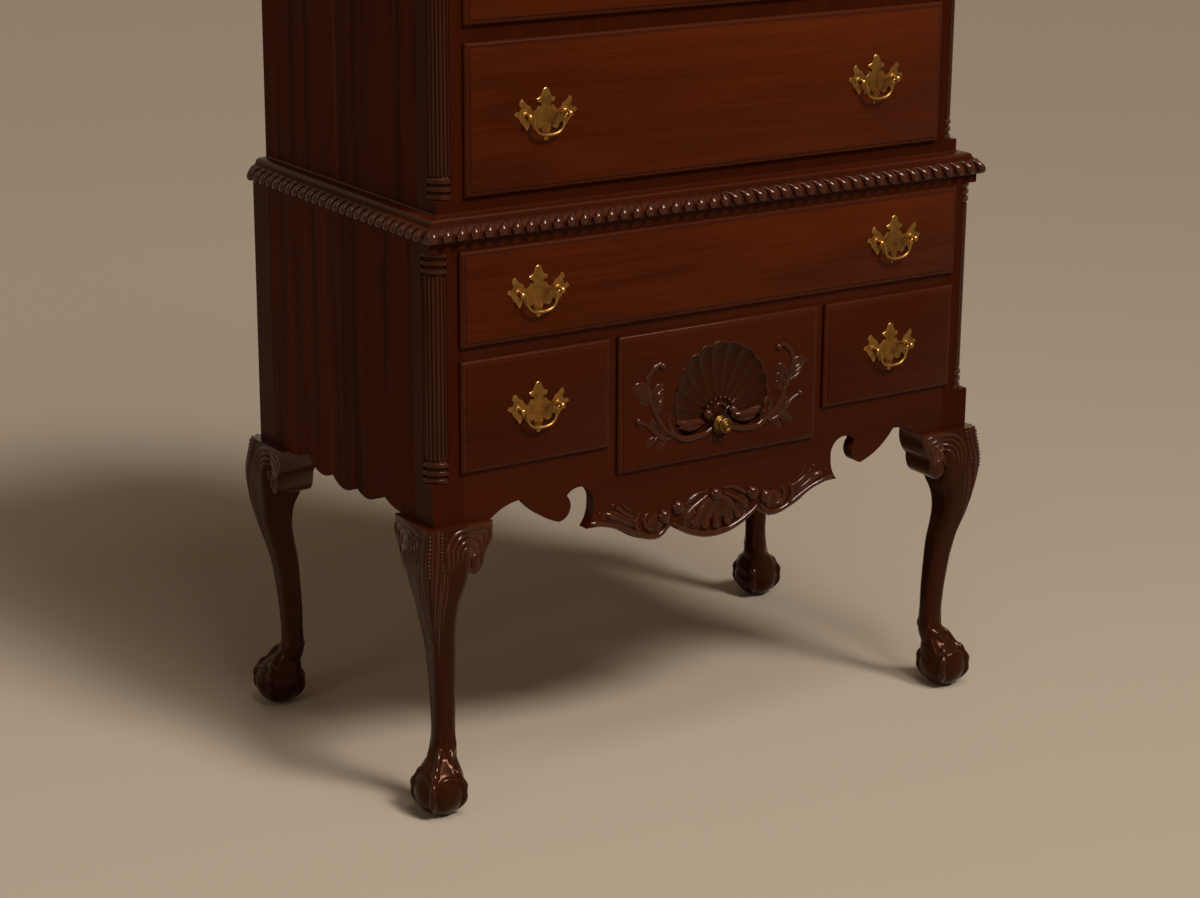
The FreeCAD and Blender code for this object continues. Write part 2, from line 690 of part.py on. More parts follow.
def cornice_steps():
    """The section's steps in millimetres, with heights counted from its middle line."""
    s = sheet
    return [tuple(s.cornice_height * (share - 0.5) if place % 2 else s.cornice_reach * share
                  for place, share in enumerate(step)) for step in CORNICE]


def scroll_moulding(side):
    """A mitred start at the corner, then the two arcs of the scroll."""
    s = sheet
    front, half = places.upper_front, places.upper_half
    middle, radius, sweep, first, second = scroll()
    start = (0, -s.cornice_height / 2)
    steps = cornice_steps()
    corner = Part.makeLoft([
        outline(lambda n, dz: Vector(side * (half + n), front - n, middle + dz), start, steps),
        outline(lambda n, dz: Vector(side * first.x, front - n, middle + dz), start, steps)], True, True)
    rising = outline(lambda n, dz: Vector(side * first.x, front - n, middle + dz), start, steps)
    level = outline(lambda n, dz: Vector(side * s.scroll_end, front - n, middle + s.scroll_rise + dz),
                    start, steps)
    first_arc = Part.Face(rising).revolve(Vector(side * first.x, 0, first.z), BACKWARDS, side * sweep)
    second_arc = Part.Face(level).revolve(Vector(side * second.x, 0, second.z), BACKWARDS, side * sweep)
    return corner.fuse([first_arc, second_arc])


def cornice_return(side):
    """The cornice along one side of the upper case."""
    s = sheet
    front, half = places.upper_front, places.upper_half
    middle = places.case_top - s.cornice_height / 2
    start = (0, -s.cornice_height / 2)
    ends = (lambda n, dz: Vector(side * (half + n), front - n, middle + dz),
            lambda n, dz: Vector(side * (half + n), places.rear, middle + dz))
    return Part.makeLoft([outline(lay, start, cornice_steps()) for lay in ends], True, True)


# A rosette's face from its rim to its boss: distance from its middle as a share of its radius, and
# reach in front of the disc as a share of the boss's.
ROSETTE = ((1.0, -0.8), (0.93, -0.25, 0.8, 0), (0.62, -1.0), (0.36, -0.5), (0.28, 0.7, 0.08, 1.0),
           (0, 1.0))


def rosette(side):
    """A turned disc with a boss, which closes the end of a scroll."""
    s = sheet
    middle = places.case_top - s.cornice_height / 2 + s.scroll_rise
    radius, rear = s.rosette_radius, -s.rosette_back
    centre = Vector(side * (s.scroll_end - radius), places.upper_front + rear, middle)
    face = scaled(ROSETTE, radius, s.rosette_boss)
    return turned([(0, rear), (radius, rear)] + face + [(0, rear)], centre, -BACKWARDS)


def pediment_mouldings():
    pieces = []
    for side in (-1, 1):
        pieces.append(feature("scroll_moulding", scroll_moulding(side).cut(rosette(side))))
        pieces.append(feature("cornice_return", cornice_return(side)))
        pieces.append(feature("rosette", rosette(side)))
    node("pediment_mouldings", *pieces)


# A finial's turned outline: radius as a share of the urn's, height as a share of the whole.
FINIAL = ((0, 0), (0.72, 0), (0.72, 0.05), (0.42, 0.09, 0.34, 0.14), (0.48, 0.17),
          (0.86, 0.24, 1.0, 0.37), (1.0, 0.40), (0.84, 0.42), (0.60, 0.46), (0.30, 0.49), (0.30, 0.52),
          (0.62, 0.60, 0.50, 0.74), (0.24, 0.90), (0, 1.0))


def finial(centre, radius, height):
    return turned(scaled(FINIAL, radius, height) + [(0, 0)], centre, UP)


def finials():
    """Three urn finials, each on a square plinth."""
    s = sheet
    half = s.plinth_side / 2
    middle = ("-plinth_side / 2", "plinth_side / 2")
    corner = ("upper_half - plinth_side", "upper_half")
    on_board = ("upper_front + (board - plinth_side) / 2", "upper_front + (board + plinth_side) / 2")
    on_post = ("upper_front", "upper_front + plinth_side")
    dip = "case_top + dip_height"
    board_y = places.upper_front + s.board / 2
    dip_top = places.case_top + s.dip_height + s.centre_plinth
    pieces = [box("plinth", middle, on_board, (dip, dip + " + centre_plinth")),
              feature("finial", finial(Vector(0, board_y, dip_top), s.finial_radius, s.finial_height))]
    for side in (-1, 1):
        spot = Vector(side * (places.upper_half - half), places.upper_front + half,
                      places.case_top + s.side_plinth)
        pieces.append(box("plinth", on_side(side, corner), on_post,
                          ("case_top", "case_top + side_plinth")))
        pieces.append(feature("finial", finial(spot, s.finial_radius, s.side_finial_height)))
    node("finials", *pieces)


# Pulls and knobs ------------------------------------------------------------------------------

# Half of a batwing plate, from the point at its foot round to the crest, in hundredths of the
# distance between its posts: distance from the pull's middle, and height above the posts.
BATWING_FOOT = (0, -56)
BATWING = ((4.6, -53.7, 5.4, -47.5), (10, -36.8, 11.5, -26.1), (18.4, -30.7),
           (29.1, -30.7, 33.7, -21.5), (39.9, -16.9), (47.5, -30.7),
           (55.2, -19.9, 63.7, -10.7), (67.5, -3.1), (78.2, 3.1), (73.6, 10.7), (66, 10),
           (61.3, 18.4), (66, 27.6, 59, 36), (50.6, 26.1), (41.4, 21.5),
           (36.8, 13.8, 29.1, 8.4), (23, 13.8), (18.4, 20.7), (13, 18.4, 12.3, 24.5),
           (21.5, 29.1), (23, 34.5), (13.8, 38.3), (9.2, 47.5), (6.9, 53.7, 0, 57.5))


def plate(centre):
    """A flat batwing plate with a hole for each post. centre is on the drawer's front."""
    s = sheet
    unit = s.post_spacing / 100
    steps = list(BATWING) + mirrored(BATWING_FOOT, BATWING)
    wire = outline(lambda x, z: centre + Vector(x * unit, 0, z * unit), BATWING_FOOT, steps)
    solid = slab(wire, Vector(0, -s.plate_thick, 0))
    for side in (-1, 1):
        at = centre + Vector(side * s.post_spacing / 2, 0, 0)
        solid = solid.cut(Part.makeCylinder(places.screw_hole, s.plate_thick, at, -BACKWARDS))
    return solid


# A bail's pins sit at this share of its posts' reach.
PIN_SHARE = 0.64


def post(at, inward, through):
    """A post: round head with a blind hole for the bail's pin, neck, collar, and a screw that
    reaches through the drawer front. at is on the drawer's front, inward points to the bail."""
    s = sheet
    thick, reach, head = s.plate_thick, s.post_reach, s.post_head
    tip = -through - s.nut_thick - s.screw_end
    steps = [(0, tip), (s.screw_radius, tip), (s.screw_radius, thick), (1.2 * head, thick),
             (1.2 * head, thick + 0.1 * reach), (s.post_neck, thick + 0.2 * reach),
             (s.post_neck, thick + 0.3 * reach), (head, thick + 0.4 * reach),
             (head, thick + 0.87 * reach), (0.7 * head, thick + 0.96 * reach, 0.2 * head, thick + reach),
             (0, thick + reach), (0, tip)]
    solid = turned(steps, at, -BACKWARDS)
    mouth = at - BACKWARDS * pin_reach() + inward * 2 * head
    hole = Part.makeCylinder(s.pin_radius + s.pin_play, s.pin_depth + head, mouth, -inward)
    return solid.cut(hole)


def pin_reach():
    """Distance of a bail's pins in front of the drawer's front."""
    return sheet.plate_thick + PIN_SHARE * sheet.post_reach


def nut(at, through):
    """A hexagonal nut behind the drawer front."""
    s = sheet
    corners = [at + Vector(s.nut_width / 2 * math.cos(math.radians(60 * turn)), through,
                           s.nut_width / 2 * math.sin(math.radians(60 * turn))) for turn in range(6)]
    body = Part.Face(Part.makePolygon(corners + corners[:1])).extrude(BACKWARDS * s.nut_thick)
    bore = Part.makeCylinder(s.screw_radius + s.nut_play, s.nut_thick, at + BACKWARDS * through, BACKWARDS)
    return body.cut(bore)


def bail(centre):
    """A drop handle: a pin into each post, an arm down from each and a round-cornered grip."""
    s = sheet
    r, bend, drop, big = s.bail_radius, s.bail_bend, s.bail_drop, s.bail_round
    head_side = s.post_spacing / 2 - s.post_head - s.bail_gap
    arm = head_side - bend
    low = -drop + big
    k = 1 - math.sqrt(0.5)

    def lay(x, z):
        return centre + Vector(x, -pin_reach(), z)

    steps = ((head_side - bend * (1 - k), -bend * k, arm, -bend), (arm, low),
             (arm - big * k, low - big * (1 - k), arm - big, -drop), (0, -drop))
    path = outline(lay, (head_side, 0), list(steps) + mirrored((head_side, 0), steps))
    disc = Part.Wire(Part.Circle(lay(head_side, 0), Vector(1, 0, 0), r).toShape())
    grip = path.makePipeShell([disc], True, True)
    solids = []
    for side in (-1, 1):
        start = lay(side * head_side, 0)
        pin = Part.makeCylinder(s.pin_radius, s.pin_depth, start, Vector(side, 0, 0))
        solids.append(pin)
    return grip.fuse(solids)


def knob(at):
    """A turned brass knob with a ringed face and a round foot on the drawer front."""
    s = sheet
    r, reach, neck = s.knob_radius, s.knob_reach, s.knob_neck
    steps = [(0, 0), (r, 0), (r, 0.1 * reach), (neck, 0.2 * reach), (neck, 0.45 * reach),
             (0.9 * r, 0.6 * reach), (r, 0.7 * reach, 0.9 * r, 0.85 * reach), (0.6 * r, 0.9 * reach),
             (0.45 * r, 0.86 * reach), (0.3 * r, 0.97 * reach, 0.1 * r, reach), (0, reach), (0, 0)]
    return turned(steps, at, -BACKWARDS)


# Drawers --------------------------------------------------------------------------------------

def drawer_front(name, left, right, low, high, face, holes):
    """A lipped front: a board that fills the opening, a lip over the frame and a raised field
    inside a thumbnail moulding. holes are the (x, z) numbers of the pulls' screws."""
    filling = box("filling", (left + " + slide_gap", right + " - slide_gap"),
                  (face + " - lip_gap", face + " + front_board"),
                  (low + " + runner_gap", high + " - slide_gap"))
    lip = box("lip", (left + " - lip", right + " + lip"),
              (face + " - lip_gap - lip_thick", face + " - lip_gap"), (low + " - lip", high + " + lip"))
    field = doc.addObject("Part::Wedge", "field")
    for prop, formula in (("Xmin", "%s - lip + thumb_width" % left),
                          ("Xmax", "%s + lip - thumb_width" % right),
                          ("Zmin", "%s - lip + thumb_width" % low),
                          ("Zmax", "%s + lip - thumb_width" % high),
                          ("Ymin", "%s - lip_gap - lip_thick - thumb_rise" % face),
                          ("X2min", "%s - lip + thumb_inset" % left),
                          ("X2max", "%s + lip - thumb_inset" % right),
                          ("Z2min", "%s - lip + thumb_inset" % low),
                          ("Z2max", "%s + lip - thumb_inset" % high),
                          ("Ymax", "%s - lip_gap - lip_thick" % face)):
        bind(field, prop, formula)
    front = fuse("board", filling, lip, field)
    for x, z in holes:
        hole = doc.addObject("Part::Cylinder", "screw_hole")
        bind(hole, "Radius", "screw_hole")
        bind(hole, "Height", "lip_gap + lip_thick + thumb_rise + front_board")
        hole.Placement = FreeCAD.Placement(Vector(x, 0, z), FreeCAD.Rotation(Vector(1, 0, 0), 90))
        bind(hole, "Placement.Base.y", face + " + front_board")
        front = cut("drilled", front, hole)
    node(name + "_front", front)


def drawer_box(name, left, right, low, high, face):
    """Two sides, a back and a bottom behind the front."""
    deep = (face + " + front_board", "drawer_end")
    floor = low + " + runner_gap + floor_lift"
    top = high + " - headroom"
    inner = (left + " + slide_gap + drawer_wall", right + " - slide_gap - drawer_wall")
    node(name + "_box",
         box("side", (left + " + slide_gap", inner[0]), deep, (low + " + runner_gap", top)),
         box("side", (inner[1], right + " - slide_gap"), deep, (low + " + runner_gap", top)),
         box("back", inner, ("drawer_end - drawer_wall", "drawer_end"), (floor + " + drawer_floor", top)),
         box("bottom", inner, deep, (floor, floor + " + drawer_floor")))


def drawer(name, left, right, low, high, face, pulls):
    """One drawer with its pulls. pulls maps a bail's name to the x of its middle."""
    s = sheet
    bottom, top = places.getPropertyByName(low), places.getPropertyByName(high)
    height = (bottom + top) / 2
    skin = places.getPropertyByName(face) - s.lip_gap - s.lip_thick - s.thumb_rise
    through = s.lip_thick + s.thumb_rise + s.front_board + s.lip_gap
    spots = [(x + side * s.post_spacing / 2, side) for x in pulls.values() for side in (-1, 1)]
    drawer_front(name, left, right, low, high, face, [(x, height) for x, side in spots])
    drawer_box(name, left, right, low, high, face)
    if pulls:
        pieces = [feature("plate", plate(Vector(x, skin, height))) for x in pulls.values()]
        for x, side in spots:
            at = Vector(x, skin, height)
            pieces.append(feature("post", post(at, Vector(-side, 0, 0), through)))
            pieces.append(feature("nut", nut(at, through)))
        node(name + "_plates", *pieces)
        for word, x in pulls.items():
            node(name + "_bail" + word, feature("bail", bail(Vector(x, skin, height))))
    else:
        node(name + "_knob", feature("knob", knob(Vector(0, skin, bottom + s.knob_rise - s.lip))))


def drawers():
    pull, upper_pull = places.pull_centre, places.upper_pull_centre
    pair = {"_left": -pull, "_right": pull}
    upper_pair = {"_left": -upper_pull, "_right": upper_pull}
    wide = ("-opening_half", "opening_half")
    drawer("base_long", *wide, "long_bottom", "long_top", "front", pair)
    drawer("base_small_left", "-opening_half", "-centre_outer", "small_bottom", "small_top", "front",
           {"": -pull})
    drawer("base_small_right", "centre_outer", "opening_half", "small_bottom", "small_top", "front",
           {"": pull})
    drawer("base_shell", "-centre_half", "centre_half", "centre_bottom", "small_top", "front", {})
    upper_wide = ("-upper_opening", "upper_opening")
    for word in ("first", "second", "third"):
        drawer("upper_" + word, *upper_wide, word + "_bottom", word + "_top", "upper_front", upper_pair)
    drawer("upper_small_left", "-upper_opening", "-upper_centre_outer", "fourth_bottom", "fourth_top",
           "upper_front", {"": -upper_pull})
    drawer("upper_small_right", "upper_centre_outer", "upper_opening", "fourth_bottom", "fourth_top",
           "upper_front", {"": upper_pull})
    drawer("upper_shell", "-upper_centre_half", "upper_centre_half", "fourth_bottom", "shell_top",
           "upper_front", {})


# The whole highboy ----------------------------------------------------------------------------

def check():
    """Stop if any object failed, or a sub-part has a shape that isn't sound."""
    failed = [item.Name for item in doc.Objects if {"Invalid", "Error"} & set(item.State)]
    for item in NODES:
        shape = item.Shape
        if shape.isNull() or not shape.isValid() or not shape.Solids:
            failed.append(item.Label)
        elif min(solid.Volume for solid in shape.Solids) <= 0:
            failed.append(item.Label)
    if failed:
        raise RuntimeError("unsound: " + ", ".join(failed))


def export():
    os.makedirs("parts", exist_ok=True)
    for item in NODES:
        item.Shape.exportStep("parts/%s.step" % item.Label)


fill_sheet()
legs()
knee_blocks()
base_sides()
front_apron()
base_rails()
waist_moulding()
quarter_columns()
upper_sides()
upper_frame()
case_boards()
back_panels()
drawer_runners()
pediment_board()
pediment_mouldings()
finials()
drawers()
doc.recompute()
check()
export()
print(len(NODES), "sub-parts,", sum(len(item.Shape.Solids) for item in NODES), "solids")
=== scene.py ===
"""Dressing of a carved mahogany highboy: ball-and-claw legs, carved apron and shells, gadrooned
waist, fluted columns, moulded drawer fronts, brass pulls and flame finials, and their finishes.
Bench sizes are in millimetres, in the cabinet's own frame."""

import math

import bmesh
import bpy
from bpy.props import FloatProperty, FloatVectorProperty, IntProperty, PointerProperty
from mathutils import Matrix, Vector
from mathutils.bvhtree import BVHTree


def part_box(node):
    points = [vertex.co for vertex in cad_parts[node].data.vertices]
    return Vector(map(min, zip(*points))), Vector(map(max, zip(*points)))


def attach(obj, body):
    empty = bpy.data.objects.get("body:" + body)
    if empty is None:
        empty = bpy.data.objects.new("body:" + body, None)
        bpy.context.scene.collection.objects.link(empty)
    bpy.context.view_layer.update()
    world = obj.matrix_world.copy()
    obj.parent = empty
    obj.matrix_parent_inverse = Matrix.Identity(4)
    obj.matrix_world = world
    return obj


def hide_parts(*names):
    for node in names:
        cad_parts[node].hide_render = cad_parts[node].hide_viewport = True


bl_info = {
    "name": "Carved highboy",
    "version": (1, 0, 0),
    "blender": (4, 5, 0),
    "location": "3D View > Sidebar > Highboy",
    "description": "Dresses the highboy's frame with its carving, mouldings, brasses and finishes",
    "category": "Object",
}

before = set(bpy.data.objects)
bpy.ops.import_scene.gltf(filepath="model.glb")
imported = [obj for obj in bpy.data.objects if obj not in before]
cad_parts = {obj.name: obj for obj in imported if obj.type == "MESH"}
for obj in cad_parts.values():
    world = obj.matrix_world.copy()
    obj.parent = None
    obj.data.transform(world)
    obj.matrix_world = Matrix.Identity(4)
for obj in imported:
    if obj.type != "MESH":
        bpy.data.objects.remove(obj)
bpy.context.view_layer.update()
MM = 0.001
# The way that the drawers face.
FORWARD = (0, -1, 0)
# How deep under a face the balls of its carving have their middles.
GROUND = 0.6


# Settings -------------------------------------------------------------------------------------

def tint(name, description, colour):
    """A colour of the finishes."""
    return FloatVectorProperty(name=name, description=description, default=colour, subtype="COLOR",
                               min=0.0, max=1.0)


def length(name, description, size, low, high):
    """A length of the carving. Its size and its limits are in millimetres."""
    return FloatProperty(name=name, description=description, default=size * MM, min=low * MM,
                         max=high * MM, subtype="DISTANCE")


def number(name, description, count, low, high):
    """A count of repeated cuts."""
    return IntProperty(name=name, description=description, default=count, min=low, max=high)


def power(name, description, strength, unit="POWER"):
    """A light's strength, in watts unless it has no unit."""
    return FloatProperty(name=name, description=description, default=strength, min=0.0, unit=unit)


class HighboyFinishes(bpy.types.PropertyGroup):
    """Colours of the wood, the brass and the floor."""

    mahogany: tint("Mahogany", "Middle tone of the polished wood", (0.054, 0.0078, 0.0011))
    heart: tint("Dark streaks", "Dark tone of the polished wood", (0.025, 0.0036, 0.0007))
    flame: tint("Light streaks", "Light tone of the polished wood", (0.084, 0.0125, 0.0016))
    carving: tint("Carving", "Tone of the carved and moulded wood", (0.029, 0.0064, 0.0015))
    # The hollows' tone is the real dark of the pores and of the carving's mottle. It is also the colour of
    # the painted shade in the carving's hollows.
    hollow: tint("Hollows", "Old stain in the hollows of the carving", (0.0105, 0.0026, 0.0008))
    poplar: tint("Inside wood", "Tone of the drawers' sides and the runners", (0.37, 0.195, 0.085))
    brass: tint("Brass", "Tone of the rubbed brass", (0.47, 0.25, 0.064))
    tarnish: tint("Tarnish", "Tone of the aged brass", (0.220, 0.106, 0.024))
    grime: tint("Grime", "Tone of the dirt on the knobs", (0.045, 0.024, 0.006))
    floor: tint("Floor", "Tone of the floor and backdrop", (0.42, 0.33, 0.24))


class HighboyCarving(bpy.types.PropertyGroup):
    """Sizes of the carving."""

    bowl: length("Bowl", "Depth of the shells' bowls", 9.0, 2, 12)
    flutes: number("Flutes", "Number of flutes in a shell", 15, 7, 25)
    lobe_pitch: length("Gadroon pitch", "Distance between gadroons", 21.4, 12, 30)
    column_flutes: number("Column flutes", "Flutes in a quarter column", 6, 3, 8)
    chisel: length("Chisel size", "Finest form cut in the legs", 1.5, 1, 4)


class HighboyStage(bpy.types.PropertyGroup):
    """Lamps of the studio."""

    key: power("Key", "Strength of the key light", 2.0, "NONE")
    fill: power("Fill", "Power of the fill lamp", 16.0)
    spot: power("Spot", "Power of the small lamp that makes the glints", 60.0)
    top: power("Top", "Power of the top lamp", 40.0)
    sky: power("Sky", "Strength of the even light all round", 0.30, "NONE")
    backdrop: FloatProperty(name="Backdrop", description="Strength at which the backdrop is seen",
                            default=0.85, min=0.0, max=1.0)


# Finishes -------------------------------------------------------------------------------------

class Signal:
    """A socket of a finish. Python's operators on it build Math nodes."""

    def __init__(self, finish, socket):
        self.finish = finish
        self.socket = socket

    def math(self, operation, *values):
        """The result of a Math node on signals and numbers."""
        return self.finish.node("ShaderNodeMath", dict(enumerate(values)), operation=operation)

    def __add__(self, other):
        return self.math("ADD", self, other)

    def __sub__(self, other):
        return self.math("SUBTRACT", self, other)

    def __rsub__(self, other):
        return self.math("SUBTRACT", other, self)

    def __mul__(self, other):
        return self.math("MULTIPLY", self, other)

    __radd__ = __add__
    __rmul__ = __mul__


class Finish:
    """A material built from nodes round one Principled surface."""

    def __init__(self, name, **constants):
        self.material = bpy.data.materials.new(name)
        self.material.use_nodes = True
        self.tree = self.material.node_tree
        self.surface = self.tree.nodes["Principled BSDF"]
        for key, value in constants.items():
            self.feed(self.surface.inputs[key.replace("_", " ")], value)

    def feed(self, socket, value):
        """Links a signal to a socket, or sets the socket's own value."""
        if isinstance(value, Signal):
            self.tree.links.new(value.socket, socket)
        elif socket.type == "RGBA":
            socket.default_value = (*value[:3], 1.0)
        else:
            socket.default_value = value

    def node(self, kind, inputs, output=0, stops=(), **settings):
        """Adds a node: its settings and stops first, then its inputs by number or name."""
        node = self.tree.nodes.new(kind)
        for key, value in settings.items():
            setattr(node, key, value)
        for place, colour in stops[1:-1]:
            node.color_ramp.elements.new(place)
        if stops:
            for element, (place, colour) in zip(node.color_ramp.elements, stops):
                element.position = place
                element.color = (*colour[:3], 1.0)
        for key, value in inputs.items():
            self.feed(node.inputs[key], value)
        return Signal(self, node.outputs[output])

    def places(self):
        """The piece's own coordinates, in metres."""
        return self.node("ShaderNodeTexCoord", {}, output="Object")

    def stretched(self, factors):
        """The piece's coordinates, each multiplied by its own factor."""
        return self.node("ShaderNodeVectorMath", {0: self.places(), 1: factors}, operation="MULTIPLY")

    def noise(self, factors, detail=4.0, roughness=0.55, bend=0.0):
        """Soft spots, as many to the metre along each axis as its factor."""
        return self.node("ShaderNodeTexNoise", {"Vector": self.stretched(factors), "Scale": 1.0,
                                                "Detail": detail, "Roughness": roughness,
                                                "Distortion": bend})

    def colours(self, signal, *stops):
        """A colour for each strength of a signal, from stops of (strength, colour)."""
        return self.node("ShaderNodeValToRGB", {0: signal}, stops=stops)

    def ramp(self, signal, *stops):
        """A level for each strength of a signal, from stops of (strength, level)."""
        return self.colours(signal, *((place, (level,) * 3) for place, level in stops))

    def mix(self, share, first, second):
        """The first colour, with a share of the second over it."""
        return self.node("ShaderNodeMix", {0: share, 6: first, 7: second}, output=2, data_type="RGBA")

    def edges(self):
        """How sharply the surface bends outwards: 0.5 where it is flat."""
        return self.node("ShaderNodeNewGeometry", {}, output="Pointiness")

    def show(self, colour, roughness, height, strength, reach):
        """Feeds the surface its colour and roughness, and its relief through a bump."""
        self.feed(self.surface.inputs["Base Color"], colour)
        self.feed(self.surface.inputs["Roughness"], roughness)
        bump = self.node("ShaderNodeBump", {"Height": height, "Strength": strength, "Distance": reach})
        self.feed(self.surface.inputs["Normal"], bump)
        return self.material


def along_grain(grain, long, cross):
    """Factors that stretch a pattern along one axis."""
    return tuple(long if axis == grain else cross for axis in "xyz")


def wood_pores(finish, grain):
    """1 in the wood's fine pores and 0 between them."""
    spots = finish.noise(along_grain(grain, 75.0, 1250.0), detail=2.0)
    return finish.ramp(spots, (0.56, 0.0), (0.66, 1.0))


def mahogany(name, grain, shine=0.13, figure=0.55, painted_shade=0.0, polish=0.0):
    """Polished mahogany with its grain along one axis: long streaks, fine pores and a broad figure.
    shine is the strength of its gloss, figure that of the broad figure over the streaks, painted_shade how
    far it is darkened towards the dark streaks' tone as painted shade, and polish the strength of the wax
    over it."""
    tones = bpy.context.scene.highboy_finishes
    finish = Finish(name, Specular_IOR_Level=shine, Specular_Tint=(1.0, 0.55, 0.34),
                    Coat_Weight=polish, Coat_Roughness=0.2)
    streaks = finish.noise(along_grain(grain, 3.5, 170.0), detail=5.0, roughness=0.62, bend=0.3)
    cloud = finish.noise(along_grain(grain, 2.2, 13.0), detail=2.0, bend=0.6)
    pores = wood_pores(finish, grain)
    tone = finish.colours(streaks, (0.24, tones.heart), (0.50, tones.mahogany), (0.76, tones.flame))
    broad = finish.colours(cloud, (0.26, tones.heart), (0.48, tones.mahogany), (0.72, tones.flame))
    colour = finish.mix(figure, tone, broad)
    # The darkening below is painted shade: the darker copies of this finish stand in for less light
    # falling on their parts.
    if painted_shade:
        colour = finish.mix(painted_shade, colour, tones.heart)
    colour = finish.mix(pores * 0.45, colour, tones.hollow)
    rough = cloud * 0.08 + pores * 0.10 + 0.24
    return finish.show(colour, rough, 1.0 - pores, 0.10, 0.0002)


def ribbon_mahogany(name, grain, across):
    """Quartered mahogany: soft upright ribbons of light and dark, with a few darker streaks."""
    tones = bpy.context.scene.highboy_finishes
    finish = Finish(name, Specular_IOR_Level=0.02, Specular_Tint=(1.0, 0.50, 0.28))
    wide = {grain: 1.1, across: 42.0}
    bands = finish.noise(tuple(wide.get(axis, 1.0) for axis in "xyz"), detail=1.5, bend=0.25)
    broken = finish.noise(along_grain(grain, 7.0, 120.0), detail=4.0, roughness=0.6)
    pores = wood_pores(finish, grain)
    tone = finish.colours(bands * 0.7 + broken * 0.3, (0.36, tones.heart), (0.47, tones.mahogany),
                          (0.56, tones.mahogany), (0.66, tones.flame))
    dark = finish.ramp(finish.noise(along_grain(grain, 0.9, 24.0), detail=2.0), (0.57, 0.0), (0.70, 0.7))
    colour = finish.mix(dark, tone, tones.heart)
    colour = finish.mix(pores * 0.4, colour, tones.hollow)
    rough = broken * 0.10 + pores * 0.08 + 0.28
    return finish.show(colour, rough, 1.0 - pores, 0.10, 0.0002)


def carved_mahogany(name):
    """Carved and stained mahogany, with painted shade in its hollows, rubbed warmer and waxed on its
    edges.
    """
    tones = bpy.context.scene.highboy_finishes
    finish = Finish(name, Specular_IOR_Level=0.17, Specular_Tint=(1.0, 0.44, 0.24), Coat_Roughness=0.11)
    edges = finish.edges()
    worn = finish.ramp(edges, (0.50, 0.0), (0.60, 1.0))
    # This mask marks where the surface bends inwards. Further down it darkens the colour towards the
    # hollows' tone, as painted shade in the carving's hollows, and roughens it.
    painted_shade = finish.ramp(edges, (0.43, 1.0), (0.50, 0.0))
    finish.feed(finish.surface.inputs["Coat Weight"], finish.ramp(edges, (0.505, 0.03), (0.57, 0.60)))
    mottle = finish.noise((30.0, 30.0, 9.0), detail=3.0)
    fibre = finish.noise((170.0, 170.0, 6.0), detail=4.0, bend=0.3)
    colour = finish.mix(mottle, tones.hollow, tones.carving)
    colour = finish.mix(fibre * 0.5, colour, tones.carving)
    colour = finish.mix(worn * 0.40, colour, tones.flame)
    # Painted shade in the carving's hollows.
    colour = finish.mix(painted_shade * 0.8, colour, tones.hollow)
    rough = fibre * 0.10 + painted_shade * 0.15 + 0.13
    return finish.show(colour, rough, fibre, 0.03, 0.0002)


def inside_wood(name, grain):
    """Plain planed poplar, a little dusty, with straight grain."""
    tones = bpy.context.scene.highboy_finishes
    finish = Finish(name, Specular_IOR_Level=0.30)
    grain_lines = finish.noise(along_grain(grain, 3.0, 120.0), detail=5.0, roughness=0.6)
    cloud = finish.noise((6.0, 6.0, 6.0), detail=3.0)
    dark = tuple(0.55 * level for level in tones.poplar)
    colour = finish.mix(finish.ramp(grain_lines, (0.35, 1.0), (0.62, 0.0)), tones.poplar, dark)
    colour = finish.mix(finish.ramp(cloud, (0.40, 0.0), (0.75, 0.5)), colour, dark)
    return finish.show(colour, grain_lines * 0.2 + 0.5, grain_lines, 0.15, 0.0003)


def aged_brass(name, rubbed=0.8, rough=0.22, grime=0.0):
    """Lacquered brass gone brown, brighter where hands rub its edges. grime is how much dirt dulls it."""
    tones = bpy.context.scene.highboy_finishes
    finish = Finish(name, Metallic=1.0)
    worn = finish.ramp(finish.edges(), (0.50, 0.0), (0.58, 1.0))
    cloud = finish.noise((90.0, 90.0, 90.0), detail=4.0, roughness=0.6)
    specks = finish.ramp(finish.noise((520.0, 520.0, 520.0), detail=2.0), (0.60, 0.0), (0.72, 1.0))
    colour = finish.mix(finish.ramp(cloud, (0.38, 0.0), (0.62, 0.35)), tones.tarnish, tones.brass)
    colour = finish.mix(worn * rubbed, colour, tones.brass)
    colour = finish.mix(specks * 0.5, colour, tuple(0.4 * level for level in tones.tarnish))
    if grime:
        colour = finish.mix(grime, colour, tones.grime)
    return finish.show(colour, cloud * 0.22 + specks * 0.15 + rough, cloud, 0.10, 0.0003)


# Three of these are darker copies with painted shade, each darkened to stand in for less light falling on
# its parts: the one for the small drawers, the apron, the rails and the shells' fields; the mouldings'
# one; and the upright one for the posts and the upper frame.
FINISHES = {
    "across": lambda: mahogany("mahogany_across", "x"),
    "across_painted_shade": lambda: mahogany("mahogany_across_deep", "x", painted_shade=0.62),
    "moulded": lambda: mahogany("mahogany_moulded", "x", shine=0.18, painted_shade=0.55, polish=0.06),
    "upright": lambda: mahogany("mahogany_upright", "z", shine=0.05, figure=0.4, painted_shade=0.7),
    "ribbon": lambda: ribbon_mahogany("mahogany_ribbon", "z", "y"),
    "front_to_back": lambda: mahogany("mahogany_front_to_back", "y", figure=0.4),
    "carved": lambda: carved_mahogany("mahogany_carved"),
    "inside": lambda: inside_wood("poplar_front_to_back", "y"),
    "inside_upright": lambda: inside_wood("poplar_upright", "z"),
    "brass": lambda: aged_brass("brass_aged"),
    "dull_brass": lambda: aged_brass("brass_dull", rubbed=0.1, rough=0.30, grime=0.55),
}


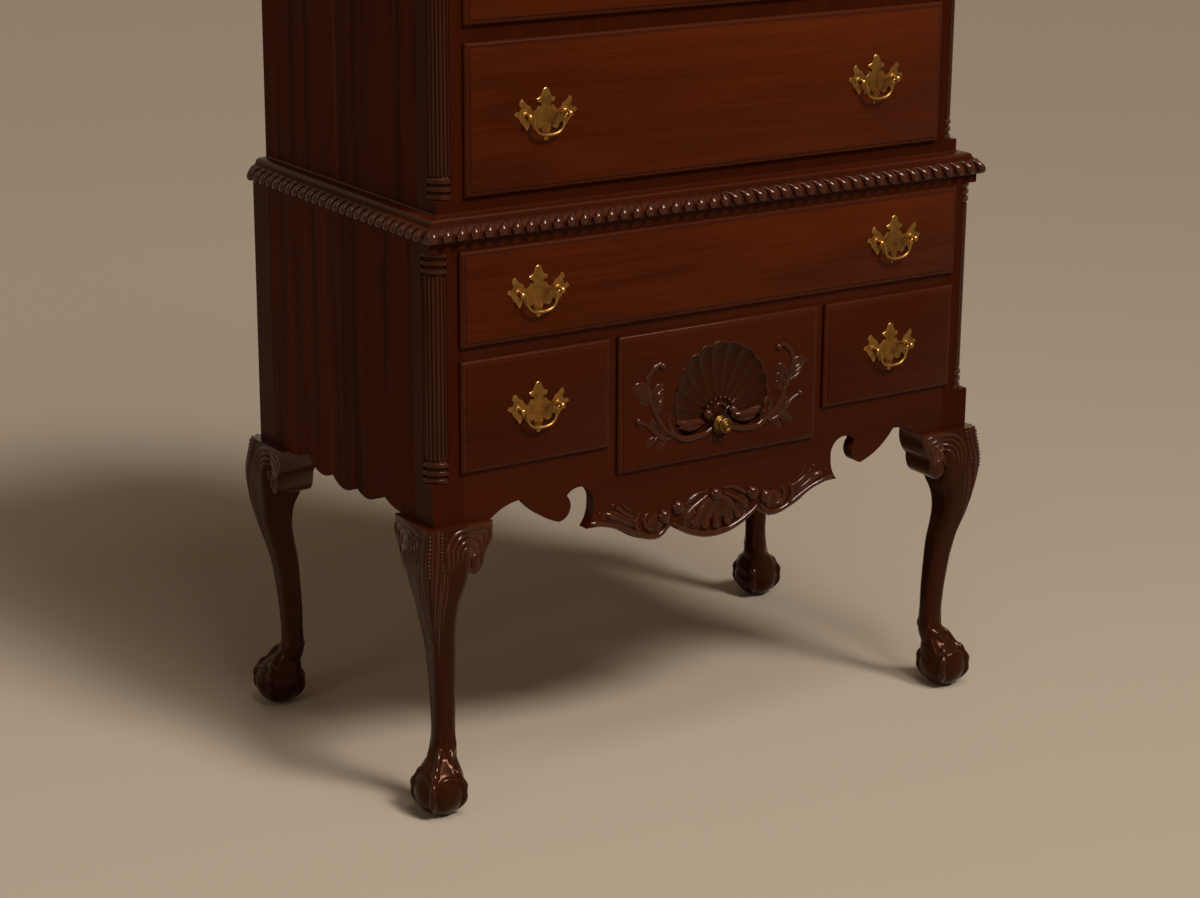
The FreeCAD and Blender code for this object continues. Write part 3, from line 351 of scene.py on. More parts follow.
def finish_of(word):
    """The material for one of the finishes above, made when it is first used."""
    scene = bpy.context.scene
    key = "highboy_" + word
    if key not in scene:
        scene[key] = FINISHES[word]().name
    return bpy.data.materials[scene[key]]


# Shaping --------------------------------------------------------------------------------------

def mm_box(node):
    """Lowest and highest corner of a frame node, in millimetres."""
    low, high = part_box(node)
    return low / MM, high / MM


def fresh(bm, before):
    """The points made since."""
    return [vert for vert in bm.verts if vert not in before]


def only(items, kind):
    """The points, the edges or the faces among what an operator made."""
    return [item for item in items if isinstance(item, kind)]


def turns_of(count, offset=0.0):
    """Angles spread evenly round a full turn. The offset is a share of their distance."""
    return [math.tau * (step + offset) / count for step in range(count)]


def round_point(centre, radius, angle):
    """A point at the same height as centre, by its distance and its angle from it."""
    return Vector((centre[0] + radius * math.cos(angle), centre[1] + radius * math.sin(angle), centre[2]))


def flowing(rows, place, level_start=False):
    """Values at a place along rows of (place, value, ...), on a smooth line through every row. With a
    level start it leaves the first row without a slope."""
    last = len(rows) - 1
    index = min(max(sum(row[0] <= place for row in rows) - 1, 0), last - 1)
    before, after = rows[index], rows[index + 1]
    earlier, later = rows[max(index - 1, 0)], rows[min(index + 2, last)]
    step = after[0] - before[0]
    t = (place - before[0]) / step
    values = []
    for column in range(1, len(before)):
        start = (after[column] - earlier[column]) / (after[0] - earlier[0]) * step
        if level_start and index == 0:
            start = 0.0
        end = (later[column] - before[column]) / (later[0] - before[0]) * step
        values.append((2 * t ** 3 - 3 * t ** 2 + 1) * before[column] + (t ** 3 - 2 * t ** 2 + t) * start
                      + (3 * t ** 2 - 2 * t ** 3) * after[column] + (t ** 3 - t ** 2) * end)
    return values


def skin(bm, rings, open_end=False):
    """Joins closed rings of equal count, one after another, and closes the ends."""
    verts = bmesh.ops.create_circle(bm, cap_ends=not open_end, segments=len(rings[0]), radius=1.0)["verts"]
    edges = list({edge for vert in verts for edge in vert.link_edges})
    for vert, place in zip(verts, rings[0]):
        vert.co = place
    for ring in rings[1:]:
        made = bmesh.ops.extrude_edge_only(bm, edges=edges)["geom"]
        new = set(only(made, bmesh.types.BMVert))
        verts = [next(edge.other_vert(vert) for edge in vert.link_edges if edge.other_vert(vert) in new)
                 for vert in verts]
        edges = [edge for edge in only(made, bmesh.types.BMEdge) if all(end in new for end in edge.verts)]
        for vert, place in zip(verts, ring):
            vert.co = place
    bmesh.ops.contextual_create(bm, geom=edges)


def turned(bm, outline, centre, segments):
    """Spins an outline of (radius, reach) points round an axis that runs forward from centre."""
    before = set(bm.verts)
    axis = Vector(FORWARD)
    side = axis.orthogonal().normalized()
    chain = [bm.verts.new(Vector(centre) + side * radius + axis * reach) for radius, reach in outline]
    edges = [bm.edges.new(pair) for pair in zip(chain, chain[1:])]
    bmesh.ops.spin(bm, geom=chain + edges, cent=centre, axis=axis, angle=math.tau, steps=segments,
                   use_merge=True, use_duplicate=False)
    bmesh.ops.remove_doubles(bm, verts=fresh(bm, before), dist=0.002)


def traced(start, steps, parts=6):
    """Points along an outline. A step of four numbers bends through its first point."""
    line = [Vector(start)]
    for step in steps:
        if len(step) == 2:
            line.append(Vector(step))
            continue
        first, through, last = line[-1], Vector(step[:2]), Vector(step[2:])
        bend = 2 * through - (first + last) / 2
        for part in range(1, parts + 1):
            t = part / parts
            line.append(first * (1 - t) ** 2 + bend * 2 * t * (1 - t) + last * t ** 2)
    return line


def block(bm, low, high, edge):
    """A box with softened edges."""
    low, high = Vector(low), Vector(high)
    made = bmesh.ops.create_cube(bm, size=1.0)["verts"]
    bmesh.ops.scale(bm, vec=high - low, verts=made)
    bmesh.ops.translate(bm, vec=(low + high) / 2, verts=made)
    edges = list({side for vert in made for side in vert.link_edges})
    bmesh.ops.bevel(bm, geom=edges, offset=edge, offset_type="OFFSET", affect="EDGES", segments=2,
                    profile=0.5, material=-1)


def vine(bm, points, matrix=None, sides=3, smooth=5):
    """A round stroke along a smooth line. points are (place, radius) pairs."""
    curve = bpy.data.curves.new("vine", "CURVE")
    curve.dimensions = "3D"
    curve.bevel_depth = 1.0
    curve.bevel_resolution = sides
    curve.resolution_u = smooth
    curve.use_fill_caps = True
    line = curve.splines.new("BEZIER")
    line.bezier_points.add(len(points) - 1)
    line.radius_interpolation = "CARDINAL"
    for knot, (place, radius) in zip(line.bezier_points, points):
        knot.co = place
        knot.radius = radius
        knot.handle_left_type = knot.handle_right_type = "AUTO"
    holder = bpy.data.objects.new("vine", curve)
    mesh = bpy.data.meshes.new_from_object(holder)
    if matrix is not None:
        mesh.transform(matrix)
    bm.from_mesh(mesh)
    bpy.data.objects.remove(holder)
    bpy.data.curves.remove(curve)
    bpy.data.meshes.remove(mesh)


def kept(bm, name):
    """The bmesh as a mesh, for use in another one."""
    mesh = bpy.data.meshes.new(name)
    bm.to_mesh(mesh)
    bm.free()
    return mesh


def add(bm, mesh, matrix=Matrix()):
    """Adds a copy of a mesh to a bmesh, moved by a matrix."""
    copy = mesh.copy()
    copy.transform(matrix)
    bm.from_mesh(copy)
    bpy.data.meshes.remove(copy)


def pearl(bm, place, size):
    """A ball of the carving. size is its radius, or its three half widths."""
    ball = bpy.data.meshes.get("pearl")
    if ball is None:
        start = bmesh.new()
        bmesh.ops.create_uvsphere(start, u_segments=16, v_segments=10, radius=1.0)
        ball = kept(start, "pearl")
    widths = (size,) * 3 if isinstance(size, (int, float)) else size
    add(bm, ball, Matrix.Translation(place) @ Matrix.Diagonal((*widths, 1)))


def relief(bm, strokes, ground, thick=0.8, height=0.0, size=1.0, mirrored=True):
    """Raised strokes on an upright face. A stroke is a list of (x, z, half width) knots, and height
    lifts them all."""
    matrix = Matrix.Translation((0, ground, height)) @ Matrix.Diagonal((size, thick * size, size, 1))
    sides = (1, -1) if mirrored else (1,)
    for side in sides:
        for stroke in strokes:
            vine(bm, [(Vector((x * side, 0, z)), half) for x, z, half in stroke], matrix)


def linked(name, data):
    """A new object in the scene."""
    item = bpy.data.objects.new(name, data)
    bpy.context.scene.collection.objects.link(item)
    return item


def applied(bm, kind, **settings):
    """Gives the bmesh the shape that one modifier makes of it."""
    mesh = bpy.data.meshes.new("work")
    bm.to_mesh(mesh)
    holder = linked("work", mesh)
    modifier = holder.modifiers.new("work", kind)
    for key, value in settings.items():
        setattr(modifier, key, value)
    result = bpy.data.meshes.new_from_object(holder.evaluated_get(bpy.context.evaluated_depsgraph_get()))
    bm.clear()
    bm.from_mesh(result)
    bpy.data.objects.remove(holder)
    for spare in (mesh, result):
        bpy.data.meshes.remove(spare)


def piece(name, bm, words, body, replaced=(), angle=38.0):
    """Makes a piece of a bmesh in millimetres, with its finishes, and fixes it to a body. Its edges
    show sharp where they bend by more than the angle, and where they are marked already."""
    bmesh.ops.scale(bm, vec=(MM, MM, MM), verts=bm.verts)
    bmesh.ops.recalc_face_normals(bm, faces=bm.faces)
    limit = math.radians(angle)
    for edge in bm.edges:
        if edge.calc_face_angle(0.0) > limit:
            edge.smooth = False
    mesh = bpy.data.meshes.new(name)
    bm.to_mesh(mesh)
    bm.free()
    for word in words:
        mesh.materials.append(finish_of(word))
    mesh.shade_smooth()
    item = linked(name, mesh)
    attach(item, body)
    if replaced:
        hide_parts(*replaced)
    return item


def paint(bm, before, index):
    """Gives a material's number to the faces made since."""
    for face in bm.faces:
        if face not in before:
            face.material_index = index


def corner_matrix(half, y, side, end):
    """Places a corner piece drawn at the front left corner, with x and y running inwards."""
    turn = {(-1, -1): 0, (1, -1): 90, (1, 1): 180, (-1, 1): 270}[side, end]
    return Matrix.Translation((side * half, y, 0)) @ Matrix.Rotation(math.radians(turn), 4, "Z")


# The case -------------------------------------------------------------------------------------

BASE_HALF, BASE_FRONT, BASE_REAR = 482.6, -266.6, 266.6
UPPER_HALF, UPPER_FRONT = 459.4, -243.4
KNEE_TOP, BASE_TOP, CASE_TOP = 435.9, 860.0, 1710.1
# A quarter column of each case: the recess that it fills, its shaft's radius, its foot and its head.
BASE_COLUMN = (25.5, 23.6, 497.8, 826.0)
UPPER_COLUMN = (23.4, 21.8, 891.3, 1652.1)

# The apron and the rails take the darker finish, and the upper frame the upright one. The darkening of
# both is painted shade.
CASE_FINISHES = {
    "base_sides": "ribbon", "upper_sides": "ribbon", "back_panels": "inside_upright",
    "front_apron": "across_painted_shade", "base_rails": "across_painted_shade", "drawer_runners": "inside",
    "upper_frame": "upright", "case_boards": "front_to_back", "pediment_board": "across",
    "pediment_mouldings": "across",
}


class HIGHBOY_OT_case(bpy.types.Operator):
    """Finishes the boards and mouldings of both cases and the drawers' boxes"""

    bl_idname = "highboy.case"
    bl_label = "Cases and boxes"

    def execute(self, context):
        for name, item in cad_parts.items():
            word = CASE_FINISHES.get(name)
            if name.endswith("_box"):
                word = "inside"
            if word:
                item.data.materials.clear()
                item.data.materials.append(finish_of(word))
        return {"FINISHED"}


# Legs -----------------------------------------------------------------------------------------

# Square sections of a leg from its ankle up to the case: height as a share between the two, reach
# outside the corner as a share of the knee's, and inner side and corner radius as shares of the post's
# side.
LEG = ((0.0, 0.09, 0.81, 0.36), (0.075, -0.41, 0.94, 0.32), (0.125, -0.55, 0.93, 0.30),
       (0.271, -0.50, 0.91, 0.25), (0.418, -0.31, 0.86, 0.21), (0.492, -0.15, 0.83, 0.21),
       (0.564, 0.11, 0.77, 0.22), (0.638, 0.43, 0.73, 0.23), (0.710, 0.67, 0.79, 0.26),
       (0.782, 0.86, 0.96, 0.26), (0.846, 0.93, 1.0, 0.24), (0.888, 0.88, 1.0, 0.20),
       (0.923, 0.78, 1.0, 0.16), (0.957, 0.65, 1.0, 0.10), (0.985, 0.57, 1.0, 0.05),
       (1.0, 0.53, 1.0, 0.03))
# The post's side, how far the knee stands out of the case's corner, and the post's top.
POST, KNEE_REACH, POST_TOP = 49.6, 22.9, 846.0
# The foot's ball, and the height where the leg's sections begin inside it.
BALL, BALL_CENTRE = 37.5, Vector((12.7, 12.7, 36.0))
ANKLE = 60.0
# Round sections that widen from the ankle over the ball: height, middle and radius. Under
# FLARE_ROUND they are a little square.
FLARE = ((112, 29.5, 14.0), (104, 28.2, 16.2), (93, 26.2, 17.4), (83, 23.4, 20.0), (75, 20.0, 24.2),
         (67, 17.0, 29.0), (59, 14.6, 32.6), (50, 13.2, 34.6))
FLARE_ROUND = 90.0
# Compass angles of the leg's outer corner and of its four claws.
OUTER = 225
CLAW_ANGLES = (OUTER, OUTER - 85, OUTER - 180, OUTER + 85)


def leg_ring(share):
    """A leg's square section with round corners, at a share of its height."""
    reach, inner, corner = flowing(LEG, share)
    low, high, radius = -reach * KNEE_REACH, inner * POST, max(corner * POST, 0.8)
    middle = (low + high) / 2
    ring = []
    for turn, (x, y) in enumerate(((high, high), (low, high), (low, low), (high, low))):
        centre = Vector((x - math.copysign(radius, x - middle), y - math.copysign(radius, y - middle)))
        for step in range(9):
            angle = math.radians(90 * turn + 90 * step / 8)
            spot = centre + radius * Vector((math.cos(angle), math.sin(angle)))
            ring.append(Vector((spot.x, spot.y, ANKLE + share * (KNEE_TOP - ANKLE))))
    return ring


def leg_skin(bm, parts=60):
    """The leg's smooth form from its ankle to a little above the case's lower edge."""
    rings = [leg_ring(step / parts) for step in range(parts + 1)]
    rings.append([spot + Vector((0, 0, 3)) for spot in rings[-1]])
    skin(bm, rings)


def wood_tree(bm):
    """A tree of the shapes so far, for laying strokes on them."""
    bmesh.ops.recalc_face_normals(bm, faces=bm.faces)
    return BVHTree.FromBMesh(bm)


def round_spot(tree, turn, z, half, sink=0.4):
    """A stroke's knot on a leg, by an angle from its outer corner and a height."""
    reach, inner, corner = flowing(LEG, min((z - ANKLE) / (KNEE_TOP - ANKLE), 1.0))
    middle = (inner * POST - reach * KNEE_REACH) / 2
    angle = math.radians(OUTER + turn)
    away = Vector((math.cos(angle), math.sin(angle), 0))
    place, normal = tree.ray_cast(Vector((middle, middle, z)) + away * 200, -away)[:2]
    return place - normal * half * sink, half


def face_spot(tree, x, height, half, sink=0.4):
    """A stroke's knot on a knee's front, by distance from the case's corner and height over its edge."""
    place, normal = tree.ray_cast(Vector((x, -200, KNEE_TOP + height)), Vector((0, 1, 0)))[:2]
    return place - normal * half * sink, half


def foot_spot(angle, height, reach):
    """Place on the foot's ball, by compass angle and angle above its middle."""
    across, up = math.radians(angle), math.radians(height)
    return BALL_CENTRE + reach * Vector((math.cos(across) * math.cos(up), math.sin(across) * math.cos(up),
                                         math.sin(up)))


# A claw from its tendon to its nail: angle above the ball's middle, distance from its centre and
# half thickness.
CLAW = ((60, 38.2, 5.4), (46, 38.8, 6.4), (32, 38.0, 5.0), (18, 38.9, 6.2), (3, 38.0, 4.6),
        (-11, 38.2, 5.6), (-26, 37.8, 4.2), (-41, 38.0, 2.2), (-50, 38.8, 0.9))
# A claw's tendon on the ankle: height and half thickness. Its knuckle is halfway from there to a place
# over the ball: angle above the ball's middle, distance from its centre and half thickness.
TENDON = ((124, 1.4), (110, 2.4), (97, 3.4))
KNUCKLE = (72, 47.0, 4.4)
# The web between two claws: share of the gap, angle above the ball's middle and half thickness.
WEB = ((0.04, 16, 2.0), (0.2, 34, 2.8), (0.5, 42, 3.0), (0.8, 34, 2.8), (0.96, 16, 2.0))
WEB_REACH = 37.0
# Leaf carving round a knee's corner: strokes of (angle from the corner, height, half thickness).
LEAF_STROKES = (
    ((6, 436, 1.7), (6.5, 412, 2.0), (6, 384, 2.0), (4.5, 350, 1.6), (2, 312, 0.6)),
    ((15, 437, 3.2), (15, 410, 4.2), (14, 384, 3.8), (11, 346, 2.8), (7, 304, 1.8), (3, 262, 0.5)),
    ((31, 388, 0.8), (30, 366, 2.6), (26, 334, 2.8), (18, 296, 2.2), (10, 258, 1.3), (4, 226, 0.5)),
    ((23, 376, 0.8), (22, 352, 2.3), (17, 318, 2.1), (10, 284, 0.6)),
    ((38, 372, 0.8), (40, 350, 2.2), (36, 322, 2.4), (28, 292, 0.7)),
)
# Strings of beads down a knee: angle from its corner, height of the first bead, pitch and radius.
BEADS = ((0, 429, 5.6, 2.4), (25, 430, 4.8, 2.0), (-25, 430, 4.8, 2.0))


def claws(bm, tree):
    """The claws that grip the ball, each with its tendon, and the webs between them."""
    over, out, thick = KNUCKLE
    for angle in CLAW_ANGLES:
        tendon = [round_spot(tree, angle - OUTER, z, half) for z, half in TENDON]
        tendon.append((foot_spot(angle, over, out) * 0.5 + tendon[-1][0] * 0.5, thick))
        vine(bm, tendon + [(foot_spot(angle, up, reach), half) for up, reach, half in CLAW])
    for first, second in zip(CLAW_ANGLES, CLAW_ANGLES[1:] + CLAW_ANGLES[:1]):
        gap = (second - first + 180) % 360 - 180
        vine(bm, [(foot_spot(first + gap * share, up, WEB_REACH), half) for share, up, half in WEB])


def leg_carving(tree):
    """The leaves and the strings of beads on a knee, as a mesh."""
    bm = bmesh.new()
    for stroke in LEAF_STROKES:
        for side in (1, -1):
            vine(bm, [round_spot(tree, side * turn, z - 1, half) for turn, z, half in stroke])
    for step in range(11):
        for turn, top, pitch, size in BEADS:
            pearl(bm, round_spot(tree, turn, top - pitch * step, size, 0.2)[0], size)
    return kept(bm, "leg_carving")


def leg_wood():
    """Knee, shin and foot of one leg in its corner's frame, carved from one piece."""
    bm = bmesh.new()
    leg_skin(bm)
    tree = wood_tree(bm)
    flare = []
    for z, middle, radius in FLARE:
        square = 0.05 if z < FLARE_ROUND else 0.0
        flare.append([round_point((middle, middle, z),
                                  radius * (1 + square * math.cos(4 * (turn - math.radians(45)))), turn)
                      for turn in turns_of(32)])
    skin(bm, flare)
    ball = bmesh.ops.create_uvsphere(bm, u_segments=48, v_segments=32, radius=BALL)["verts"]
    bmesh.ops.translate(bm, vec=BALL_CENTRE, verts=ball)
    claws(bm, tree)
    voxel = bpy.context.scene.highboy_carving.chisel / MM
    applied(bm, "REMESH", mode="VOXEL", voxel_size=voxel, use_smooth_shade=True)
    for _ in range(2):
        bmesh.ops.smooth_vert(bm, verts=bm.verts, factor=0.5, use_axis_x=True, use_axis_y=True,
                              use_axis_z=True)
    for height, normal in ((0.0, -1), (KNEE_TOP, 1)):
        bmesh.ops.bisect_plane(bm, geom=bm.verts[:] + bm.edges[:] + bm.faces[:], plane_co=(0, 0, height),
                               plane_no=(0, 0, normal), clear_outer=True)
        bmesh.ops.holes_fill(bm, edges=[edge for edge in bm.edges if edge.is_boundary])
    add(bm, leg_carving(tree))
    return kept(bm, "leg")


def leg_post(bm, nicked):
    """The square post above the knee. A nicked one has the recess of its column."""
    recess, shaft, foot, head = BASE_COLUMN
    whole = [(0, 0), (POST, 0), (POST, POST), (0, POST)]
    cut = [(recess, 0), (POST, 0), (POST, POST), (0, POST), (0, recess), (recess, recess)]
    spans = [(whole, KNEE_TOP, POST_TOP)]
    if nicked:
        spans = [(whole, KNEE_TOP, foot), (cut, foot, head), (whole, head, POST_TOP)]
    for outline, bottom, top in spans:
        skin(bm, [[Vector((x, y, z)) for x, y in outline] for z in (bottom, top)])


class HIGHBOY_OT_legs(bpy.types.Operator):
    """Carves the four cabriole legs with their ball-and-claw feet"""

    bl_idname = "highboy.legs"
    bl_label = "Legs"

    def execute(self, context):
        wood = leg_wood()
        for side, word in ((-1, "left"), (1, "right")):
            for end, place, y in ((-1, "front", BASE_FRONT), (1, "rear", BASE_REAR)):
                bm = bmesh.new()
                leg_post(bm, place == "front")
                before = set(bm.faces)
                add(bm, wood)
                paint(bm, before, 1)
                bmesh.ops.transform(bm, matrix=corner_matrix(BASE_HALF, y, side, end), verts=bm.verts)
                name = "leg_%s_%s" % (place, word)
                # The posts take the upright finish, whose darkening is painted shade.
                piece(name + "_carved", bm, ("upright", "carved"), "case", (name,),
                      angle=50.0)
        return {"FINISHED"}


# Ribs on one face of a knee and its block: strokes of (distance from the case's corner, height
# over the case's lower edge, half thickness).
RIBS = (
    ((14, -64, 0.6), (12.5, -44, 2.6), (16, -24, 3.1), (27, -10, 3.3), (45, -5.4, 3.5), (68, -5.2, 3.6),
     (82, -8, 3.4), (87, -17, 3.2), (83.5, -29, 3.0), (76.5, -40, 2.6), (72, -52, 2.0)),
    ((20.5, -60, 0.6), (19.8, -42, 2.4), (24, -26, 2.8), (35, -15.4, 3.0), (51, -12.8, 3.1),
     (67, -13, 3.1), (76, -18.6, 2.9), (77, -28, 2.7), (71, -38, 1.6)),
    ((27.5, -54, 0.6), (27.6, -40, 2.2), (32, -28.6, 2.6), (42, -22, 2.7), (55, -20.4, 2.7),
     (65, -22.6, 2.5), (69.4, -29.6, 2.3), (67, -38, 1.2)),
    ((35, -48, 0.6), (36, -38, 2.0), (42, -31, 2.2), (51, -29, 2.2), (58, -31.6, 2.0), (60, -38, 1.1)),
)
# A block's outline from the post: steps of distance along the case's edge and height over it.
BLOCK = ((42.5, -0.3), (40.6, -24, 28, -43.5), (23.5, -66, 10, -77.5), (0, -72), (0, -0.3))
# Its sections from back to front: reach outside the case, and how far they have shrunk towards the
# block's middle, whose place and half spans follow. Its edges on the case and the post stay.
BLOCK_SECTIONS = ((-POST + 0.5, 0.0), (6.0, 0.0), (8.6, 0.6), (10.6, 2.2), (11.6, 4.6), (11.9, 7.0))
BLOCK_MIDDLE, BLOCK_SPANS = (14, -30), (26, 46)
# Two leaf buds on its face: distance from the case's corner, height, half width and half length.
BUDS, BUD_REACH = ((60, -56, 8.0, 13.0), (47, -47, 6.0, 10.0)), 10.6
# Turns a block from a corner's front to its side.
SWAP = Matrix(((0, 1, 0, 0), (1, 0, 0, 0), (0, 0, 1, 0), (0, 0, 0, 1)))


def knee_block():
    """The block beside a knee, in its corner's frame, with the ribs that run from it over the knee."""
    bm = bmesh.new()
    line = traced(BLOCK[-1], BLOCK)[:-1]
    (x, y), (wide, tall) = BLOCK_MIDDLE, BLOCK_SPANS
    rings = []
    for reach, inset in BLOCK_SECTIONS:
        rings.append([Vector((POST + spot.x - inset * (spot.x > 1) * (spot.x - x) / wide, -reach,
                              KNEE_TOP + spot.y - inset * (spot.y < -1) * (spot.y - y) / tall))
                      for spot in line])
    skin(bm, rings)
    stout = bm.copy()
    leg_skin(stout)
    tree = wood_tree(stout)
    stout.free()
    for stroke in RIBS:
        vine(bm, [face_spot(tree, x, height, half) for x, height, half in stroke])
    for x, height, wide, tall in BUDS:
        pearl(bm, (x, -BUD_REACH, KNEE_TOP + height), (wide, 5.0, tall))
    return kept(bm, "block")


class HIGHBOY_OT_knee_blocks(bpy.types.Operator):
    """Carves the ribbed blocks beside the knees"""

    bl_idname = "highboy.knee_blocks"
    bl_label = "Knee blocks"

    def execute(self, context):
        whole = bmesh.new()
        block = knee_block()
        for side in (-1, 1):
            front = corner_matrix(BASE_HALF, BASE_FRONT, side, -1)
            rear = corner_matrix(BASE_HALF, BASE_REAR, side, 1)
            for matrix in (front, front @ SWAP, rear @ SWAP if side > 0 else rear):
                add(whole, block, matrix)
        piece("knee_blocks_carved", whole, ("carved",), "case", ("knee_blocks",),
              angle=50.0)
        return {"FINISHED"}


# Apron ----------------------------------------------------------------------------------------

# Right half of the apron's carving: strokes of (x, z, half width) on its face. The mounds are low and
# broad, and the fan, the lip, the scrolls and the leaves lie on them.
APRON_MOUNDS = (
    ((0, 396, 10), (14, 384, 17), (22, 368, 16), (18, 358, 8)),
    ((44, 396, 6), (48, 382, 13), (44, 366, 10), (36, 358, 5)),
    ((104, 392, 6), (108, 379, 15), (112, 369, 10), (116, 362, 4)),
    ((142, 384, 6), (164, 390, 11), (186, 402, 9), (200, 406, 5)),
)
APRON_STROKES = (
    ((7, 395, 2.0), (13, 382, 4.2), (18, 369, 6.6), (21, 359, 7.4), (22.5, 354, 4.0)),
    ((13, 399, 2.0), (24, 388, 4.0), (34, 376, 6.0), (40, 366, 6.8), (43, 360, 3.8)),
    ((16, 405, 2.0), (31, 397, 3.6), (46, 387, 5.2), (54, 379, 6.0), (58, 373, 3.4)),
    ((15, 413, 1.6), (30, 412, 3.0), (45, 405, 4.2), (56, 398, 3.6)),
    ((77.5, 374, 2.2), (60, 362.6, 4.6), (40, 353.4, 5.6), (20, 347.4, 6.0), (0, 345.6, 6.2)),
    ((84, 376, 2.4), (91, 366, 4.0), (103, 359.4, 4.8), (117, 359.8, 5.0), (131, 364.2, 5.0),
     (146, 370.8, 5.0), (159, 377.6, 4.8), (177, 386.6, 4.5), (197, 393, 4.6), (214, 396.6, 4.2),
     (221, 398, 2.4)),
    ((122, 362, 3.6), (134, 367, 4.4), (141.5, 377, 4.4), (142, 389, 3.6), (136, 399.6, 1.6)),
    ((108, 370.6, 2.6), (119, 372, 4.4), (127, 380, 4.2), (127, 390, 3.0), (121, 397, 1.2)),
    ((146, 380, 2.2), (160, 388.4, 4.0), (177, 398, 4.4), (190, 405.4, 5.8), (196, 408.6, 3.2)),
    ((143, 394, 1.4), (155, 398.6, 3.2), (168, 407.4, 3.0), (178, 416, 3.4)),
    ((150, 405, 1.0), (160, 411, 2.2), (168, 420, 1.2)),
)
APRON_MIDRIB = ((0, 394, 2.0), (0, 380, 4.4), (0, 366, 6.8), (0, 356, 7.4), (0, 351.5, 4.0))
# The bud over the fan, as z and half widths, and the bosses on both sides, as x, z and radius.
APRON_BUD = (405.5, (10.5, 9.5, 10.5))
APRON_BOSSES = ((68, 396.4, 11.4), (92.5, 386.4, 11.6), (183, 419, 3.2), (206, 410, 2.2))


class HIGHBOY_OT_apron(bpy.types.Operator):
    """Carves the shell, scrolls and leaves along the front apron's edge"""

    bl_idname = "highboy.apron"
    bl_label = "Apron carving"

    def execute(self, context):
        bm = bmesh.new()
        ground = BASE_FRONT + GROUND
        relief(bm, APRON_MOUNDS, ground, thick=0.28)
        relief(bm, APRON_STROKES, ground, thick=1.15)
        relief(bm, (APRON_MIDRIB,), ground, thick=1.15, mirrored=False)
        pearl(bm, (0, ground, APRON_BUD[0]), APRON_BUD[1])
        for side in (-1, 1):
            for x, z, size in APRON_BOSSES:
                pearl(bm, (side * x, ground, z), (size, 0.9 * size, size))
        piece("apron_carving", bm, ("carved",), "case", angle=60.0)
        return {"FINISHED"}


# Waist and columns ----------------------------------------------------------------------------

# The waist moulding's section: reach outside the lower case and height above its top.
WAIST_FOOT = (0, -21.0)
WAIST = ((1.0, -21.0), (6.0, -20.0, 8.0, -15.0), (8.4, -9.0, 4.6, -3.4), (1.0, 0.4, -3.2, 1.8),
         (-3.2, 2.8), (-3.9, 2.9), (-3.9, 4.4), (-5.6, 4.8), (-5.6, 5.4), (-7.4, 9.6, -14.0, 11.6),
         (-22.4, 12.2), (-22.8, 14.0), (-23.2, 14.0), (-23.2, 0.0), (0, 0.0))
# One gadroon: distance along, reach, height and half thickness, from its thin top to its full foot.
GADROON = ((17.0, -2.6, 1.0, 1.0), (13.4, 0.6, 0.2, 2.4), (9.2, 4.4, -2.4, 4.0), (5.0, 7.4, -6.2, 5.8),
           (1.2, 9.0, -11.0, 7.1), (-1.2, 8.6, -14.6, 6.2), (-2.4, 6.4, -17.4, 3.4))
# The front's lobes run a little past its corners. Those of the sides stand closer, from behind the front
# corner nearly to the rear one.
LOBE_OVERLAP, SIDE_CLOSER, SIDE_START, SIDE_LESS = 4, 0.975, 6, 8
# Sections of the rings at a column's end: distance inside the recess and height. Three rings, a pitch
# apart, make the band under and over the fluted shaft.
COLUMN_RING = ((1.6, 0.1), (0.4, 1.2), (0.0, 3.7), (0.4, 6.3), (1.6, 7.4))
RING_PITCH, COLUMN_BAND = 11.25, 30.0
FLUTE_DEPTH, FLUTE_PARTS = 1.5, 8


def gadroon(lean):
    """One lobe of the waist's edge, its top leaning along it or not. x runs along, y outwards."""
    bm = bmesh.new()
    vine(bm, [(Vector((along * lean, out, up)), half) for along, out, up, half in GADROON], smooth=3)
    return kept(bm, "gadroon")


